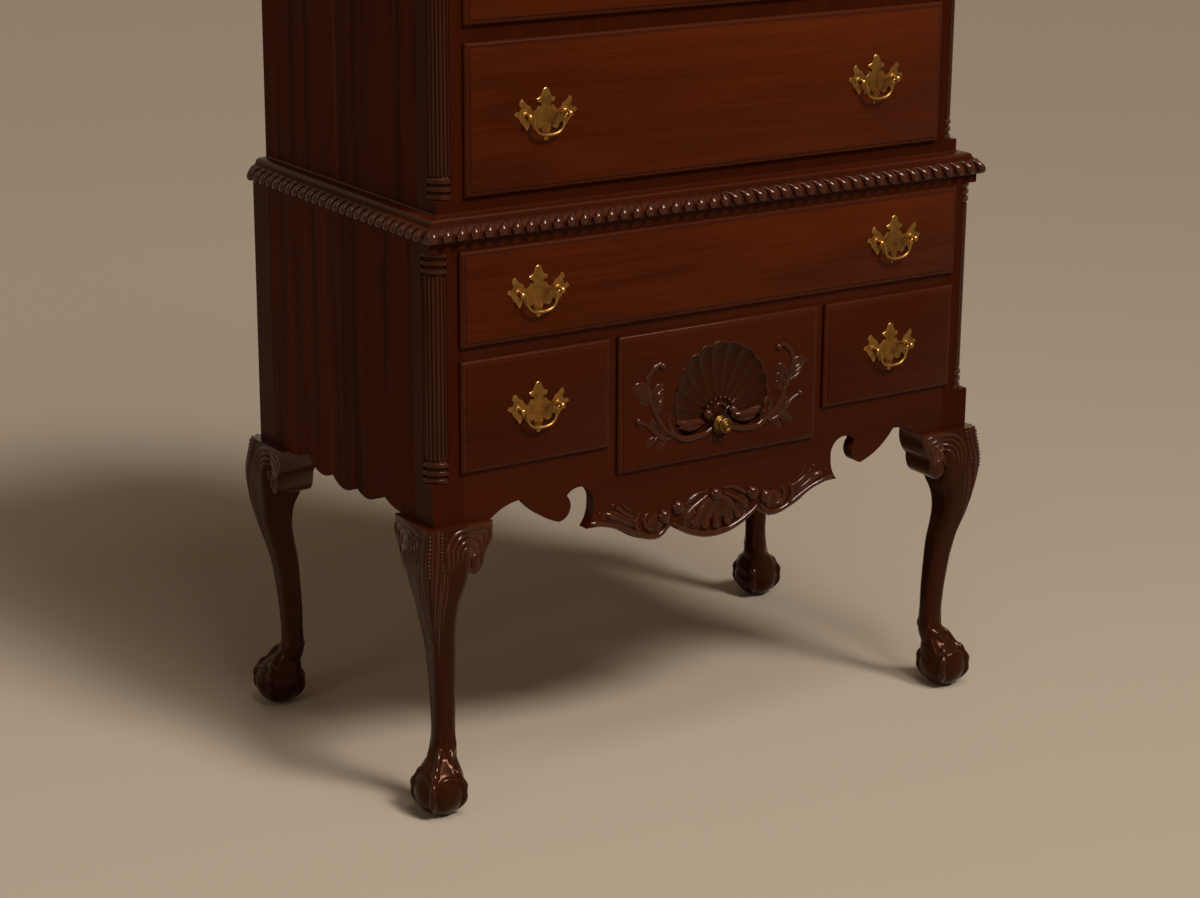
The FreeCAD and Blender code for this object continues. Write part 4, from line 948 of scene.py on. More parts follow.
class HIGHBOY_OT_waist(bpy.types.Operator):
    """Makes the gadrooned moulding round the top of the lower case"""

    bl_idname = "highboy.waist"
    bl_label = "Waist moulding"

    def execute(self, context):
        bm = bmesh.new()
        line = traced(WAIST_FOOT, WAIST, 5)
        # The moulding runs round both front corners, where its section turns, from wall to wall.
        path = ((-1, BASE_REAR, 0), (-1, BASE_FRONT, -1), (1, BASE_FRONT, -1), (1, BASE_REAR, 0))
        skin(bm, [[Vector((side * (BASE_HALF + spot.x), y + out * spot.x, BASE_TOP + spot.y))
                   for spot in line] for side, y, out in path])
        base = set(bm.faces)
        pitch = context.scene.highboy_carving.lobe_pitch / MM
        lobes = {lean: gadroon(lean) for lean in (-1, 0, 1)}
        half_count = int((BASE_HALF + LOBE_OVERLAP) // pitch)
        step = (BASE_HALF + LOBE_OVERLAP) / (half_count + 0.1)
        front = Matrix.Translation((0, BASE_FRONT, BASE_TOP)) @ Matrix.Diagonal((1, -1, 1, 1))
        for index in range(-half_count, half_count + 1):
            lean = (index < 0) - (index > 0)
            add(bm, lobes[lean], front @ Matrix.Translation((index * step, 0, 0)))
        depth = BASE_REAR - BASE_FRONT
        count = int(depth / (pitch * SIDE_CLOSER))
        for side in (-1, 1):
            turn = Matrix(((0, side, 0, side * BASE_HALF), (1, 0, 0, BASE_FRONT), (0, 0, 1, BASE_TOP),
                           (0, 0, 0, 1)))
            for index in range(count):
                along = SIDE_START + (index + 0.5) * (depth - SIDE_LESS) / count
                add(bm, lobes[-1], turn @ Matrix.Translation((along, 0, 0)))
        paint(bm, base, 1)
        # The moulding's skin takes the moulded finish, whose darkening is painted shade.
        piece("waist_gadrooned", bm, ("moulded", "carved"), "case",
              ("waist_moulding",), angle=42.0)
        return {"FINISHED"}


def column(bm, matrix, recess, shaft, foot, head, flutes):
    """A fluted quarter column with three rings at each end, its axis inside its corner."""
    parts = flutes * FLUTE_PARTS
    arc = []
    for index in range(parts + 1):
        phase = (index % FLUTE_PARTS) / FLUTE_PARTS
        cut = FLUTE_DEPTH * math.sin(math.pi * (phase - 0.2) / 0.6) if 0.2 < phase < 0.8 else 0.0
        arc.append((shaft - cut, math.radians(180 + 90 * (index / parts))))

    def ring(z, plain=None, sunk=0.0):
        """A section at a height: plain with a radius of its own, or fluted, sunk by a little."""
        axis = (recess, recess, z)
        return [round_point(axis, plain or fluted - sunk, angle) for fluted, angle in arc] + [Vector(axis)]

    band = []
    neck = shaft - 1.0
    for place in (0.0, RING_PITCH, 2 * RING_PITCH):
        band += [(recess - inside, place + z) for inside, z in COLUMN_RING] + [(neck, place + 8.0)]
        if place < 2 * RING_PITCH:
            band.append((neck, place + 10.8))
    band.append((neck, COLUMN_BAND))
    before = set(bm.verts)
    rings = [ring(foot + z, radius) for radius, z in band]
    rings += [ring(foot + COLUMN_BAND + 2.0, sunk=1.0), ring(foot + COLUMN_BAND + 5.0),
              ring(head - COLUMN_BAND - 5.0), ring(head - COLUMN_BAND - 2.0, sunk=1.0)]
    rings += [ring(head - z, radius) for radius, z in reversed(band)]
    skin(bm, rings)
    bmesh.ops.transform(bm, matrix=matrix, verts=fresh(bm, before))


class HIGHBOY_OT_columns(bpy.types.Operator):
    """Turns and flutes the quarter columns in the front corners"""

    bl_idname = "highboy.columns"
    bl_label = "Quarter columns"

    def execute(self, context):
        bm = bmesh.new()
        flutes = context.scene.highboy_carving.column_flutes
        for side in (-1, 1):
            column(bm, corner_matrix(BASE_HALF, BASE_FRONT, side, -1), *BASE_COLUMN, flutes)
            column(bm, corner_matrix(UPPER_HALF, UPPER_FRONT, side, -1), *UPPER_COLUMN, flutes)
        piece("columns_fluted", bm, ("carved",), "case", ("quarter_columns",),
              angle=30.0)
        return {"FINISHED"}


# Drawer fronts --------------------------------------------------------------------------------

# From a lip's edge to the field: steps of (inset, rise) of the thumbnail moulding.
THUMBNAIL = ((0.5, 0.5), (0.6, 0.9), (0.9, 0.7), (1.3, 0.5), (1.6, 0.3), (1.7, 0.1), (0.7, 0.0),
             (0.3, 0.35), (0.1, 0.85), (0.5, 0.2))
# How deep a lip is, and how far it laps over the opening's edge.
LIP_DEPTH, LIP_LAP = 8.3, 7.2


def pushed(bm, face, way):
    """Extrudes a face by a vector. Returns the face at the end."""
    made = bmesh.ops.extrude_face_region(bm, geom=[face])["geom"]
    bmesh.ops.translate(bm, vec=way, verts=only(made, bmesh.types.BMVert))
    bmesh.ops.delete(bm, geom=[face], context="FACES_ONLY")
    return only(made, bmesh.types.BMFace)[0]


def board(bm, low, high):
    """A lipped front with its thumbnail moulding. Returns the raised field's face."""
    rise = sum(step for inset, step in THUMBNAIL)
    lip_back = low.y + LIP_DEPTH
    made = bmesh.ops.create_grid(bm, x_segments=1, y_segments=1, size=0.5)["verts"]
    bmesh.ops.rotate(bm, verts=made, cent=(0, 0, 0), matrix=Matrix.Rotation(math.radians(90), 3, "X"))
    bmesh.ops.scale(bm, vec=(high.x - low.x, 1, high.z - low.z), verts=made)
    bmesh.ops.translate(bm, vec=((low.x + high.x) / 2, lip_back, (low.z + high.z) / 2), verts=made)
    field = bm.faces[:][0]
    field.normal_update()
    if field.normal.y > 0:
        bmesh.ops.reverse_faces(bm, faces=[field])
    rear = only(bmesh.ops.duplicate(bm, geom=[field])["geom"], bmesh.types.BMFace)[0]
    bmesh.ops.reverse_faces(bm, faces=[rear])
    field = pushed(bm, field, (0, -(LIP_DEPTH - rise), 0))
    for inset, step in THUMBNAIL:
        bmesh.ops.inset_region(bm, faces=[field], thickness=inset, depth=step, use_even_offset=True)
    bmesh.ops.inset_region(bm, faces=[rear], thickness=LIP_LAP, depth=0.0, use_even_offset=True)
    pushed(bm, rear, (0, high.y - low.y - LIP_DEPTH, 0))
    bmesh.ops.remove_doubles(bm, verts=bm.verts, dist=0.001)
    bm.faces.ensure_lookup_table()
    return min(bm.faces, key=lambda face: face.calc_center_median().y)


class HIGHBOY_OT_fronts(bpy.types.Operator):
    """Makes the plain drawer fronts with their thumbnail mouldings"""

    bl_idname = "highboy.fronts"
    bl_label = "Drawer fronts"

    def execute(self, context):
        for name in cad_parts:
            if name.endswith("_front") and "shell" not in name:
                bm = bmesh.new()
                field = board(bm, *mm_box(name))
                paint(bm, {field}, 1)
                # The small drawers take the darker finish, and the lips and mouldings the moulded one. The
                # darkening of both is painted shade.
                word = "across_painted_shade" if "small" in name else "across"
                drawer = name.removesuffix("_front")
                piece(name + "_moulded", bm, (word, "moulded"), drawer, (name,), angle=25.0)
        return {"FINISHED"}


# The shell drawers, each with the size of its shell. A shell is drawn round its drawer's knob, by x and
# height from it, and its flutes run out from a hub a little over the knob.
SHELLS = {"base_shell": 1.0, "upper_shell": 0.86}
HUB = Vector((0, 10))
# Half of a shell's rim: angle from straight up and distance from the hub.
RIM = ((0, 114), (25, 110.5), (50, 101), (70, 92), (85, 84), (98, 78), (106, 70), (114, 58), (122, 46),
       (132, 33), (145, 23), (162, 17), (180, 15))
# The angle that the flutes fill, and how many points cross one flute and the plain rest.
FLUTED, FLUTE_POINTS, PLAIN_POINTS = 224.0, 16, 40
# The bowl from its rim in to the hub: share of the rim's distance, depth under the field, and how sharp
# the ridges between the flutes are there.
BOWL = ((1.012, 0.0, 0.0), (1.004, -0.7, 0.0), (0.990, -0.8, 0.0), (0.978, 0.2, 0.1), (0.965, 1.8, 0.35),
        (0.94, 3.6, 0.7), (0.89, 5.6, 0.95), (0.80, 7.6, 1.0), (0.70, 8.7, 1.0), (0.58, 9.0, 0.95),
        (0.46, 8.4, 0.85), (0.35, 7.2, 0.75), (0.26, 5.6, 0.6), (0.18, 3.8, 0.45), (0.12, 2.6, 0.3),
        (0.05, 2.2, 0.0))
# Its depth as drawn above, the plain rest's share of it, the ridges' height, and the angle by which the
# flutes bend outwards on their way.
BOWL_DEPTH, PLAIN_SHARE, RIDGE, SWIRL = 9.0, 0.55, 1.7, 17.0
# How far the rim's scallops swell out and draw in, as shares of its distance.
SCALLOP, SCALLOP_IN = 0.030, 0.022
# The scrolls beside the bowl, their rolled edges and their shoots.
SCROLLS = (
    ((14, -5, 3.4), (26, -11, 4.4), (45, -14, 5.2), (64, -14, 5.0), (79, -7, 4.4), (89, 6, 3.8),
     (91, 18, 2.6), (88, 26, 1.2)),
    ((76, -10, 2.6), (91, -1, 3.8), (104, 12, 4.0), (114, 27, 3.6), (122, 44, 3.3), (128, 61, 3.3),
     (131, 76, 3.6), (128, 90, 4.0), (119, 101, 4.2), (108, 106, 3.2)),
    ((88, -9, 2.4), (103, -7, 3.8), (114, 1, 4.2), (124, 11, 3.8), (134, 19, 3.0), (143, 23, 3.0)),
    ((127, 68, 1.6), (136, 79, 2.6), (147, 81, 2.4), (155, 77, 1.6), (158, 74, 0.8)),
    ((124, 58, 1.2), (117, 71, 2.2), (108, 75, 2.2), (101, 72, 1.0)),
    ((120, 47, 1.0), (113, 58, 1.9), (106, 61, 1.8), (100, 59, 0.8)),
    ((116, 37, 0.9), (110, 46, 1.6), (104, 49, 1.4), (99, 47, 0.7)),
    ((112, -3, 1.2), (121, -4, 2.2), (129, -9, 1.8), (132, -16, 0.8)),
)
# Broad leaves outside, inside and under the side scrolls, flatter than their rolled edges.
LEAVES = (
    ((124, 58, 5.0), (132, 64, 10.0), (141, 69, 9.5), (150, 73, 6.0), (157, 75, 1.6)),
    ((125, 48, 3.0), (133, 53, 6.0), (141, 57, 4.6), (147, 60, 1.2)),
    ((124, 54, 3.0), (117, 63, 6.0), (110, 68, 5.4), (103, 69, 2.0)),
    ((120, 43, 3.0), (113, 50, 5.6), (107, 55, 4.6), (101, 55, 1.6)),
    ((116, 32, 2.4), (110, 39, 4.6), (105, 43, 3.6), (100, 44, 1.2)),
    ((94, -2, 4.0), (105, 3, 8.0), (115, 12, 7.0), (121, 24, 3.0)),
    ((108, -4, 4.0), (117, -6, 6.4), (125, -11, 5.4), (130, -18, 1.6)),
    ((96, -10, 2.4), (103, -14, 4.6), (109, -20, 3.6), (111, -28, 1.0)),
)
# The leaves' veins.
VEINS = (
    ((127, 61, 1.0), (138, 69, 1.7), (151, 74, 0.9)),
    ((127, 55, 0.9), (138, 62, 1.5), (149, 68, 0.8)),
    ((127, 49, 0.9), (136, 54, 1.3), (143, 58, 0.8)),
    ((122, 52, 0.9), (114, 62, 1.4), (104, 67, 0.8)),
    ((118, 41, 0.9), (111, 49, 1.3), (103, 53, 0.7)),
    ((96, 2, 0.9), (106, 8, 1.7), (115, 20, 1.0)),
    ((110, -1, 0.9), (119, -7, 1.6), (127, -14, 0.8)),
    ((107, -5, 0.8), (113, -12, 1.3), (119, -18, 0.7)),
)
# The pair of wings that spread from the knob over the bowl, and the cuts across them.
WINGS = (((22, 8, 3.0), (34, 5, 8.0), (50, 3, 10.0), (64, 6, 8.4), (76, 13, 3.0)),)
CUTS = tuple(((x + 5, -3 + abs(x - 50) / 5, 0.5), (x + 1, 4, 1.25), (x - 3, 11 - abs(x - 50) / 8, 0.5))
             for x in range(30, 74, 4))
# The lip over the knob.
HOOD = ((11, 20, 1.2), (7, 27, 2.2), (0, 30, 2.6), (-7, 27, 2.2), (-11, 20, 1.2))
# Carving in strokes: the strokes, how deep under the field their middles lie, and how thick they are
# for their width.
CARVING = ((SCROLLS, 0.4, 0.95), (LEAVES, 0.4, 0.32), (VEINS, 0.4, 2.3), (WINGS, 5.0, 0.75),
           (CUTS, 5.0, 6.8))
# Bosses on both sides, as x, height and radius, and the height and radius of the one below the knob.
BOSSES = ((22.5, 17, 8.0), (104, 102, 5.6), (146, 25, 5.4), (9, -23, 2.4), (17, -21, 2.0))
LOW_BOSS = (-24, 2.7)
# The string of beads over the knob: its radius, its middle's height, the angle from one to the next, and
# a bead's radius.
BEAD_ARC, BEAD_MIDDLE, BEAD_STEP, BEAD = 27, 12, 18, 2.6
# The plain seat that the knob stands on: radius, and reach over the field.
SEAT = ((17, 5.0), (16, 1.6), (12, 0.4))
# How far the carving may stand out over the field.
PROUD = 7.5


def rim_reach(turn):
    """Distance of the rim from the hub at an angle from straight up."""
    return flowing(RIM, abs((turn + 180) % 360 - 180), level_start=True)[0]


def shell_rings(size, knob, field):
    """Rings of the carved bowl from its rim in to the hub. knob is its height and field its y."""
    sizes = bpy.context.scene.highboy_carving
    bowl, flutes = sizes.bowl / MM, sizes.flutes
    edge, count = FLUTED / 2, flutes * FLUTE_POINTS
    turns = [edge - FLUTED * index / count for index in range(count + 1)]
    turns += [-edge - (360 - FLUTED) * index / PLAIN_POINTS for index in range(1, PLAIN_POINTS)]
    rings = []
    for share, depth, sharp in BOWL:
        ring = []
        for turn in turns:
            angle, scallop, ridge, hollow = turn, 1.0, 0.0, PLAIN_SHARE
            if abs(turn) <= edge:
                hump = math.sin(math.pi * ((edge - turn) / FLUTED * flutes % 1.0))
                lean = turn / edge
                angle += SWIRL * lean * abs(lean) * math.sin(math.pi * min(share, 1.0))
                scallop += (SCALLOP * hump - SCALLOP_IN) * min(1.0, max(0.0, (share - 0.5) * 2.4))
                ridge = -RIDGE * sharp * (1.0 - hump ** 0.6)
                hollow = 1.0
            away = Vector((math.sin(math.radians(angle)), math.cos(math.radians(angle))))
            spot = HUB + rim_reach(turn) * share * scallop * away
            sunk = depth * bowl / BOWL_DEPTH * hollow if depth > 0 else depth
            ring.append(Vector((spot.x * size, field + sunk + ridge, knob + spot.y * size)))
        rings.append(ring)
    return rings


def shell_front(name, knob, size):
    """A drawer front with a shell sunk in its field."""
    bm = bmesh.new()
    low, high = mm_box(name + "_front")
    field = board(bm, low, high)
    paint(bm, {field}, 2)
    field_edges = list(field.edges)
    bmesh.ops.delete(bm, geom=[field], context="FACES_ONLY")
    edges_before, faces_before = set(bm.edges), set(bm.faces)
    skin(bm, shell_rings(size, knob, low.y), open_end=True)
    paint(bm, faces_before, 1)
    rim = [edge for edge in bm.edges if edge not in edges_before and edge.is_boundary]
    for edge in field_edges + rim:
        edge.smooth = False
    bmesh.ops.triangle_fill(bm, use_beauty=True, use_dissolve=False, edges=field_edges + rim,
                            normal=FORWARD)
    # Its field takes the darker finish and its lips the moulded one. The darkening of both is painted
    # shade.
    piece(name + "_carved_front", bm, ("across_painted_shade", "carved", "moulded"), name,
          (name + "_front",), angle=40.0)


def shell_scrolls(name, knob, size):
    """The scrolls, leaves, wings and beads carved round a shell's knob."""
    bm = bmesh.new()
    field = mm_box(name + "_front")[0].y
    for strokes, depth, thick in CARVING:
        relief(bm, strokes, field + depth, thick, knob, size)
    for side in (-1, 1):
        for x, z, radius in BOSSES:
            pearl(bm, (side * x * size, field + GROUND, knob + z * size), radius * size)
    pearl(bm, (0, field + GROUND, knob + LOW_BOSS[0] * size), LOW_BOSS[1] * size)
    for index in range(-4, 5):
        turn = math.radians(BEAD_STEP * index)
        x, z = BEAD_ARC * size * math.sin(turn), (BEAD_MIDDLE + BEAD_ARC * math.cos(turn)) * size
        pearl(bm, (x, field + 1.4, knob + z), BEAD * size)
    relief(bm, (HOOD,), field + 1.0, height=knob, size=size, mirrored=False)
    seat = [(radius * size, reach) for radius, reach in SEAT] + [(0.01, SEAT[-1][1])]
    turned(bm, seat, (0, field, knob), 40)
    for vert in bm.verts:
        vert.co.y = max(vert.co.y, field - PROUD)
    piece(name + "_scrolls", bm, ("carved",), name, angle=60.0)


class HIGHBOY_OT_shells(bpy.types.Operator):
    """Carves the shells of the two centre drawers"""

    bl_idname = "highboy.shells"
    bl_label = "Shell drawers"

    def execute(self, context):
        for name, size in SHELLS.items():
            low, high = mm_box(name + "_knob")
            knob = (low.z + high.z) / 2
            shell_front(name, knob, size)
            shell_scrolls(name, knob, size)
        return {"FINISHED"}


# Brasses --------------------------------------------------------------------------------------

# A pull: distance between its posts, reach, thickness of the front that its screws go through, radius
# of a post's head, distance from the front to the bail's pins, and height of the bail's top over them.
POSTS, REACH, THROUGH, HEAD = 65.2, 15.0, 20.6, 4.5
PIN_LINE = 1.6 + 0.64 * REACH
BAIL_RISE = 2.412
# Half of a plate, in hundredths of the distance between its posts, from its foot round to its crest.
BATWING = ((4.6, -53.7, 5.4, -47.5), (10, -36.8, 11.5, -26.1), (18.4, -30.7), (29.1, -30.7, 33.7, -21.5),
           (39.9, -16.9), (47.5, -30.7), (55.2, -19.9, 63.7, -10.7), (67.5, -3.1), (78.2, 3.1),
           (73.6, 10.7), (66, 10), (61.3, 18.4), (66, 27.6, 59, 36), (50.6, 26.1), (41.4, 21.5),
           (36.8, 13.8, 29.1, 8.4), (23, 13.8), (18.4, 20.7), (13, 18.4, 12.3, 24.5), (21.5, 29.1),
           (23, 34.5), (13.8, 38.3), (9.2, 47.5), (6.9, 53.7, 0, 57.5))
# A plate's bevel: share of its outline and reach over the front.
PLATE_EDGE = ((1.0, 0.0), (1.0, 0.9), (0.985, 1.35), (0.965, 1.6))
# Outlines turned round a post's axis, as radius and reach over the front: the post with its screw, the
# six-sided nut behind the front, and the ring on the plate.
POST_OUTLINE = ((0.01, -THROUGH - 4.0), (2.5, -THROUGH - 4.0), (2.5, 1.6), (1.35 * HEAD, 1.6),
                (1.35 * HEAD, 2.2), (1.1 * HEAD, 2.9), (0.85 * HEAD, 3.1), (0.72 * HEAD, 4.2),
                (0.72 * HEAD, 6.2), (HEAD, 7.6), (1.02 * HEAD, 8.2), (HEAD, 8.8), (HEAD, 13.2),
                (0.92 * HEAD, 14.6), (0.66 * HEAD, 15.7), (0.34 * HEAD, 16.4), (0.01, 16.6))
NUT_OUTLINE = ((2.5, -THROUGH), (4.4, -THROUGH), (4.4, -THROUGH - 3.0), (2.5, -THROUGH - 3.0))
RING_OUTLINE = ((1.5 * HEAD, 1.5), (1.9 * HEAD, 1.5), (1.85 * HEAD, 2.0), (1.55 * HEAD, 2.1))
# Half of a bail from its pin to its middle: x, height from the pins and radius.
ARM = POSTS / 2 - HEAD - 0.3
BAIL = ((ARM + 4.4, 0, 1.45), (ARM + 0.6, 0, 1.5), (ARM - 1.2, -1.2, 1.9), (ARM - 3.0, -5.0, 2.0),
        (ARM - 3.2, -10.5, 1.9), (ARM - 6.4, -18.4, 2.0), (ARM - 12.0, -23.8, 2.2),
        (ARM - 19, -26.2, 2.35), (0, -26.8, 2.4))
# A ringed knob's outline: radius and reach over the front.
KNOB = ((0.01, 0), (12, 0), (12, 1.2), (10.4, 2.4), (6.4, 3.8), (5.4, 5.0), (5.4, 8.6), (6.6, 10.2),
        (10.2, 11.6), (11.7, 13.2), (12.0, 14.8), (11.4, 16.4), (10.2, 17.3), (9.4, 17.4), (8.9, 16.6),
        (8.0, 16.4), (7.4, 17.4), (6.4, 17.9), (5.6, 17.2), (5.0, 16.8), (4.3, 17.4), (3.6, 19.0),
        (2.2, 19.8), (0.01, 20.0))


def plate(bm, centre):
    """A batwing plate with a bevelled edge, its posts, screws and nuts. centre is on the front."""
    unit = POSTS / 100
    half = traced((0, -56), BATWING, 4)
    whole = half + [Vector((-spot.x, spot.y)) for spot in reversed(half[1:-1])]
    skin(bm, [[centre + Vector((spot.x * unit * share, -out, spot.y * unit * share)) for spot in whole]
              for share, out in PLATE_EDGE])
    for side in (-1, 1):
        post = centre + Vector((side * POSTS / 2, 0, 0))
        for outline, segments in ((POST_OUTLINE, 24), (NUT_OUTLINE, 6), (RING_OUTLINE, 24)):
            turned(bm, outline, post, segments)


def bail(bm, centre):
    """A drop handle with swelling grip. centre is on the front, between the posts."""
    knots = BAIL + tuple((-x, z, half) for x, z, half in reversed(BAIL[:-1]))
    vine(bm, [(centre + Vector((x, -PIN_LINE, z)), half) for x, z, half in knots], sides=4, smooth=6)


class HIGHBOY_OT_pulls(bpy.types.Operator):
    """Makes the batwing plates with their posts, and the bails"""

    bl_idname = "highboy.pulls"
    bl_label = "Pulls"

    def execute(self, context):
        drawers = {}
        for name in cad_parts:
            if "_bail" in name:
                drawers.setdefault(name.split("_bail")[0], []).append(name)
        for drawer, bails in drawers.items():
            field = mm_box(drawer + "_front")[0].y
            plates = bmesh.new()
            for name in bails:
                low, high = mm_box(name)
                centre = Vector(((low.x + high.x) / 2, field, high.z - BAIL_RISE))
                plate(plates, centre)
                grip = bmesh.new()
                bail(grip, centre)
                piece(name + "_drop", grip, ("brass",), name, (name,), angle=50.0)
            piece(drawer + "_batwings", plates, ("brass",), drawer, (drawer + "_plates",),
                  angle=32.0)
        return {"FINISHED"}


class HIGHBOY_OT_knobs(bpy.types.Operator):
    """Turns the ringed knobs of the shell drawers"""

    bl_idname = "highboy.knobs"
    bl_label = "Knobs"

    def execute(self, context):
        for drawer in SHELLS:
            low, high = mm_box(drawer + "_knob")
            bm = bmesh.new()
            turned(bm, KNOB, (0, high.y, (low.z + high.z) / 2), 40)
            piece(drawer + "_ringed_knob", bm, ("dull_brass",), drawer, (drawer + "_knob",),
                  angle=40.0)
        return {"FINISHED"}


# Pediment -------------------------------------------------------------------------------------

# A finial's lathe-turned urn: radius as a share of its widest, height as a share of the finial.
URN = ((0.72, 0.0), (0.74, 0.03), (0.70, 0.05), (0.50, 0.065), (0.36, 0.09), (0.33, 0.13),
       (0.48, 0.15), (0.49, 0.165), (0.42, 0.175), (0.56, 0.19), (0.78, 0.24), (0.93, 0.30), (1.0, 0.36),
       (1.0, 0.385), (0.96, 0.40), (0.84, 0.415), (0.72, 0.43), (0.60, 0.45), (0.40, 0.465), (0.31, 0.49),
       (0.30, 0.515))
# Its flame in the same shares, how many tongues it has, and how far they would twist over the finial's
# whole height, in radians.
FLAME = ((0.34, 0.52), (0.46, 0.545), (0.56, 0.58), (0.60, 0.62), (0.60, 0.67), (0.56, 0.73),
         (0.48, 0.79), (0.38, 0.85), (0.27, 0.91), (0.15, 0.96), (0.04, 0.995))
TONGUES, TWIST = 7, 5.2
URN_RADIUS, PLINTH_HALF = 31.0, 24
# The finials: x, y and foot of the plinth, the plinth's height and the finial's.
FINIALS = ((0, UPPER_FRONT + 10, CASE_TOP + 88, 62, 238),
           (-UPPER_HALF + PLINTH_HALF, UPPER_FRONT + PLINTH_HALF, CASE_TOP, 44, 214),
           (UPPER_HALF - PLINTH_HALF, UPPER_FRONT + PLINTH_HALF, CASE_TOP, 44, 214))
# The rosettes' middles: distance from the centre line and height.
ROSETTE_X, ROSETTE_Z = 71.0, 1886.1
# Two rows of petals on each: count, inner and outer end, width, reach over the case's front, and turn
# as a share of a petal.
PETALS = ((8, 13, 29, 7.2, 43.0, 0.0), (8, 9, 19, 4.8, 44.0, 0.5))
# The ring of beads in its middle, as count, ring's radius, reach and bead's radius. How far all of it may
# stand out over the case's front.
BEAD_RING, ROSETTE_PROUD = (12, 10.4, 46.0, 1.9), 51.5


def groove(turn):
    """The flame's width as a share of its widest, at an angle round it: it sinks between tongues."""
    return 1.0 - 0.20 * (0.5 + 0.5 * math.cos(TONGUES * turn)) ** 2


def finial(bm, centre, height):
    """A turned urn with a carved flame twisting out of it."""
    turns = turns_of(56)
    rings = [[centre + round_point((0, 0, height * tall), URN_RADIUS * wide, turn) for turn in turns]
             for wide, tall in URN]
    for wide, tall in FLAME:
        twist = TWIST * (tall - FLAME[0][1])
        rings.append([centre + round_point((0, 0, height * tall), URN_RADIUS * wide * groove(turn),
                                           turn + twist) for turn in turns])
    skin(bm, rings)


def petal(centre, away, inner, outer, wide, out):
    """Knots of a petal from its inner to its outer end, over the rosette's face."""
    return [(centre + away * inner - Vector((0, out - 3, 0)), 1.6),
            (centre + away * (inner + outer) / 2 - Vector((0, out - 2.5, 0)), wide * 0.75),
            (centre + away * outer * 0.93 - Vector((0, out - 2.5, 0)), wide * 0.72),
            (centre + away * outer * 1.04 - Vector((0, out - 3, 0)), 1.2)]


class HIGHBOY_OT_finials(bpy.types.Operator):
    """Makes the three flame finials and their plinths"""

    bl_idname = "highboy.finials"
    bl_label = "Finials"

    def execute(self, context):
        bm = bmesh.new()
        for x, y, z, plinth, tall in FINIALS:
            block(bm, (x - PLINTH_HALF, y - PLINTH_HALF, z),
                  (x + PLINTH_HALF, y + PLINTH_HALF, z + plinth), 1.2)
            finial(bm, Vector((x, y, z + plinth)), tall)
        piece("finials_flame", bm, ("carved",), "case", ("finials",), angle=34.0)
        return {"FINISHED"}


class HIGHBOY_OT_rosettes(bpy.types.Operator):
    """Carves petals on the rosettes that end the scrolls"""

    bl_idname = "highboy.rosettes"
    bl_label = "Rosettes"

    def execute(self, context):
        bm = bmesh.new()
        for side in (-1, 1):
            centre = Vector((side * ROSETTE_X, UPPER_FRONT, ROSETTE_Z))
            for count, inner, outer, wide, out, offset in PETALS:
                for turn in turns_of(count, offset):
                    away = Vector((math.cos(turn), 0, math.sin(turn)))
                    vine(bm, petal(centre, away, inner, outer, wide, out))
            count, radius, out, size = BEAD_RING
            for turn in turns_of(count):
                pearl(bm, centre + Vector((radius * math.cos(turn), -out, radius * math.sin(turn))), size)
        for vert in bm.verts:
            vert.co.y = max(vert.co.y, UPPER_FRONT - ROSETTE_PROUD)
        piece("rosette_petals", bm, ("carved",), "case", angle=50.0)
        return {"FINISHED"}


# Stage ----------------------------------------------------------------------------------------

# Lamps: kind, place, target and width, in metres. The sun has an angle in degrees for its width.
LAMPS = {
    "key": ("SUN", (0.9, -2.6, 3.1), (0, 0, 0), 14),
    "spot": ("AREA", (0.1, -3.1, 3.9), (0, -0.2, 0.9), 1.0),
    "fill": ("AREA", (-4.2, -1.2, 2.0), (0, 0, 0.8), 1.3),
    "top": ("AREA", (-0.3, -1.5, 4.4), (0, -0.2, 0.9), 1.3),
}
FLOOR_RADIUS = 14.0
# The camera: place in metres, turn to the left, tilt up and roll in degrees, and lens on 36 mm film.
CAMERA_PLACE = (-2.2599, -3.3832, 1.6389)
CAMERA_TURNS = (-33.388, -16.854, 0.3675)
FILM, LENS = 36.0, 81.49


def floor(tones):
    """A wide pale floor under the feet."""
    bm = bmesh.new()
    bmesh.ops.create_circle(bm, cap_ends=True, segments=96, radius=FLOOR_RADIUS)
    item = linked("floor", kept(bm, "floor"))
    finish = Finish("pale_floor", Specular_IOR_Level=0.2, Roughness=0.7, Base_Color=tuple(tones.floor))
    item.data.materials.append(finish.material)


def lamp(name, strength):
    """A soft lamp that shines from its place to its target."""
    kind, place, target, width = LAMPS[name]
    data = bpy.data.lights.new(name, kind)
    data.energy = strength
    if kind == "SUN":
        data.angle = math.radians(width)
    else:
        data.size = width
    item = linked(name, data)
    item.location = place
    item.rotation_euler = (Vector(target) - Vector(place)).to_track_quat("-Z", "Y").to_euler()


def sky(colour, strength, seen):
    """Even light from all round, which the camera and the reflections see at a strength of its own."""
    world = bpy.data.worlds.new("studio")
    bpy.context.scene.world = world
    world.use_nodes = True
    tree = world.node_tree
    background = tree.nodes["Background"]
    background.inputs["Color"].default_value = (*colour, 1.0)
    rays = tree.nodes.new("ShaderNodeLightPath")
    either = tree.nodes.new("ShaderNodeMath")
    either.operation = "MAXIMUM"
    tree.links.new(rays.outputs["Is Camera Ray"], either.inputs[0])
    tree.links.new(rays.outputs["Is Glossy Ray"], either.inputs[1])
    level = tree.nodes.new("ShaderNodeMapRange")
    level.inputs["To Min"].default_value = strength
    level.inputs["To Max"].default_value = seen
    tree.links.new(either.outputs[0], level.inputs["Value"])
    tree.links.new(level.outputs[0], background.inputs["Strength"])


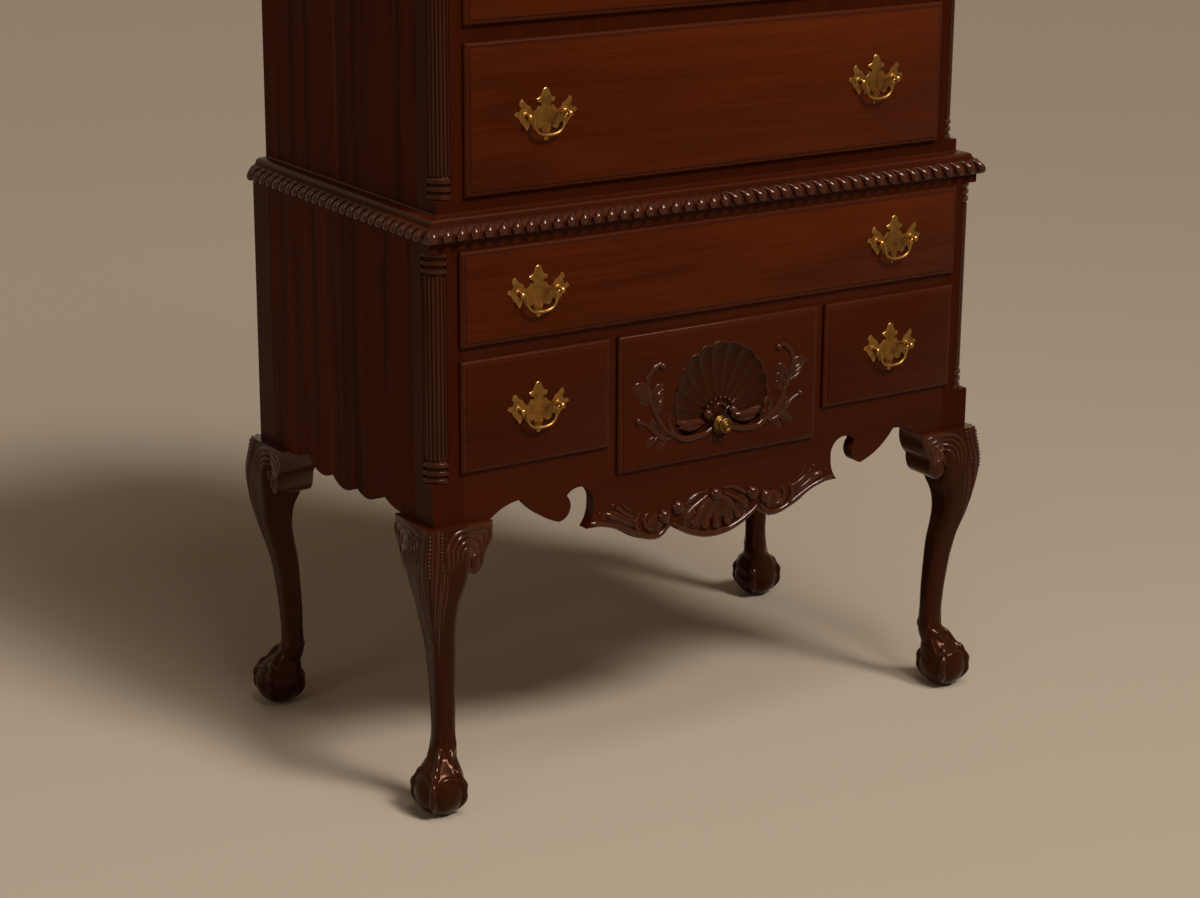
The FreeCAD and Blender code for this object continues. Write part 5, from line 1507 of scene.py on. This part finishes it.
def camera():
    """The camera, to the left of the highboy and a little over its waist."""
    data = bpy.data.cameras.new("camera")
    data.sensor_width, data.lens, data.clip_end = FILM, LENS, 60.0
    yaw, pitch, roll = (math.radians(value) for value in CAMERA_TURNS)
    level = Vector((math.cos(yaw), math.sin(yaw), 0))
    ahead = Vector((-math.sin(yaw) * math.cos(pitch), math.cos(yaw) * math.cos(pitch), math.sin(pitch)))
    upward = level.cross(ahead)
    right = level * math.cos(roll) + upward * math.sin(roll)
    upward = upward * math.cos(roll) - level * math.sin(roll)
    turn = Matrix((right, upward, -ahead)).transposed().to_4x4()
    item = linked("camera", data)
    item.matrix_world = Matrix.Translation(CAMERA_PLACE) @ turn
    bpy.context.scene.camera = item


class HIGHBOY_OT_stage(bpy.types.Operator):
    """Sets the floor, the lamps, the world and the camera"""

    bl_idname = "highboy.stage"
    bl_label = "Stage"

    def execute(self, context):
        tones, lamps = context.scene.highboy_finishes, context.scene.highboy_stage
        floor(tones)
        for name in LAMPS:
            lamp(name, getattr(lamps, name))
        sky(tones.floor, lamps.sky, lamps.backdrop)
        context.scene.view_settings.view_transform = "Standard"
        camera()
        return {"FINISHED"}


# Add-on ---------------------------------------------------------------------------------------

STEPS = (HIGHBOY_OT_case, HIGHBOY_OT_legs, HIGHBOY_OT_knee_blocks, HIGHBOY_OT_apron, HIGHBOY_OT_waist,
         HIGHBOY_OT_columns, HIGHBOY_OT_fronts, HIGHBOY_OT_shells, HIGHBOY_OT_pulls, HIGHBOY_OT_knobs,
         HIGHBOY_OT_finials, HIGHBOY_OT_rosettes, HIGHBOY_OT_stage)
GROUPS = (("highboy_finishes", HighboyFinishes), ("highboy_carving", HighboyCarving),
          ("highboy_stage", HighboyStage))


class HIGHBOY_PT_panel(bpy.types.Panel):
    """Lists the highboy's steps and settings"""

    bl_idname = "HIGHBOY_PT_panel"
    bl_label = "Highboy"
    bl_space_type = "VIEW_3D"
    bl_region_type = "UI"
    bl_category = "Highboy"

    def draw(self, context):
        for word, group in GROUPS:
            box = self.layout.box()
            for key in group.__annotations__:
                box.prop(getattr(context.scene, word), key)
        for step in STEPS:
            self.layout.operator(step.bl_idname)


CLASSES = tuple(group for word, group in GROUPS) + STEPS + (HIGHBOY_PT_panel,)


def register():
    """Adds the classes and the settings to Blender."""
    for item in CLASSES:
        bpy.utils.register_class(item)
    for word, group in GROUPS:
        setattr(bpy.types.Scene, word, PointerProperty(type=group))


def unregister():
    """Takes them away again."""
    for word, group in GROUPS:
        delattr(bpy.types.Scene, word)
    for item in reversed(CLASSES):
        bpy.utils.unregister_class(item)


def main():
    """Makes the pieces, one operator after another."""
    register()
    for step in STEPS:
        section, name = step.bl_idname.split(".")
        getattr(getattr(bpy.ops, section), name)()


if __name__ == "__main__":
    main()
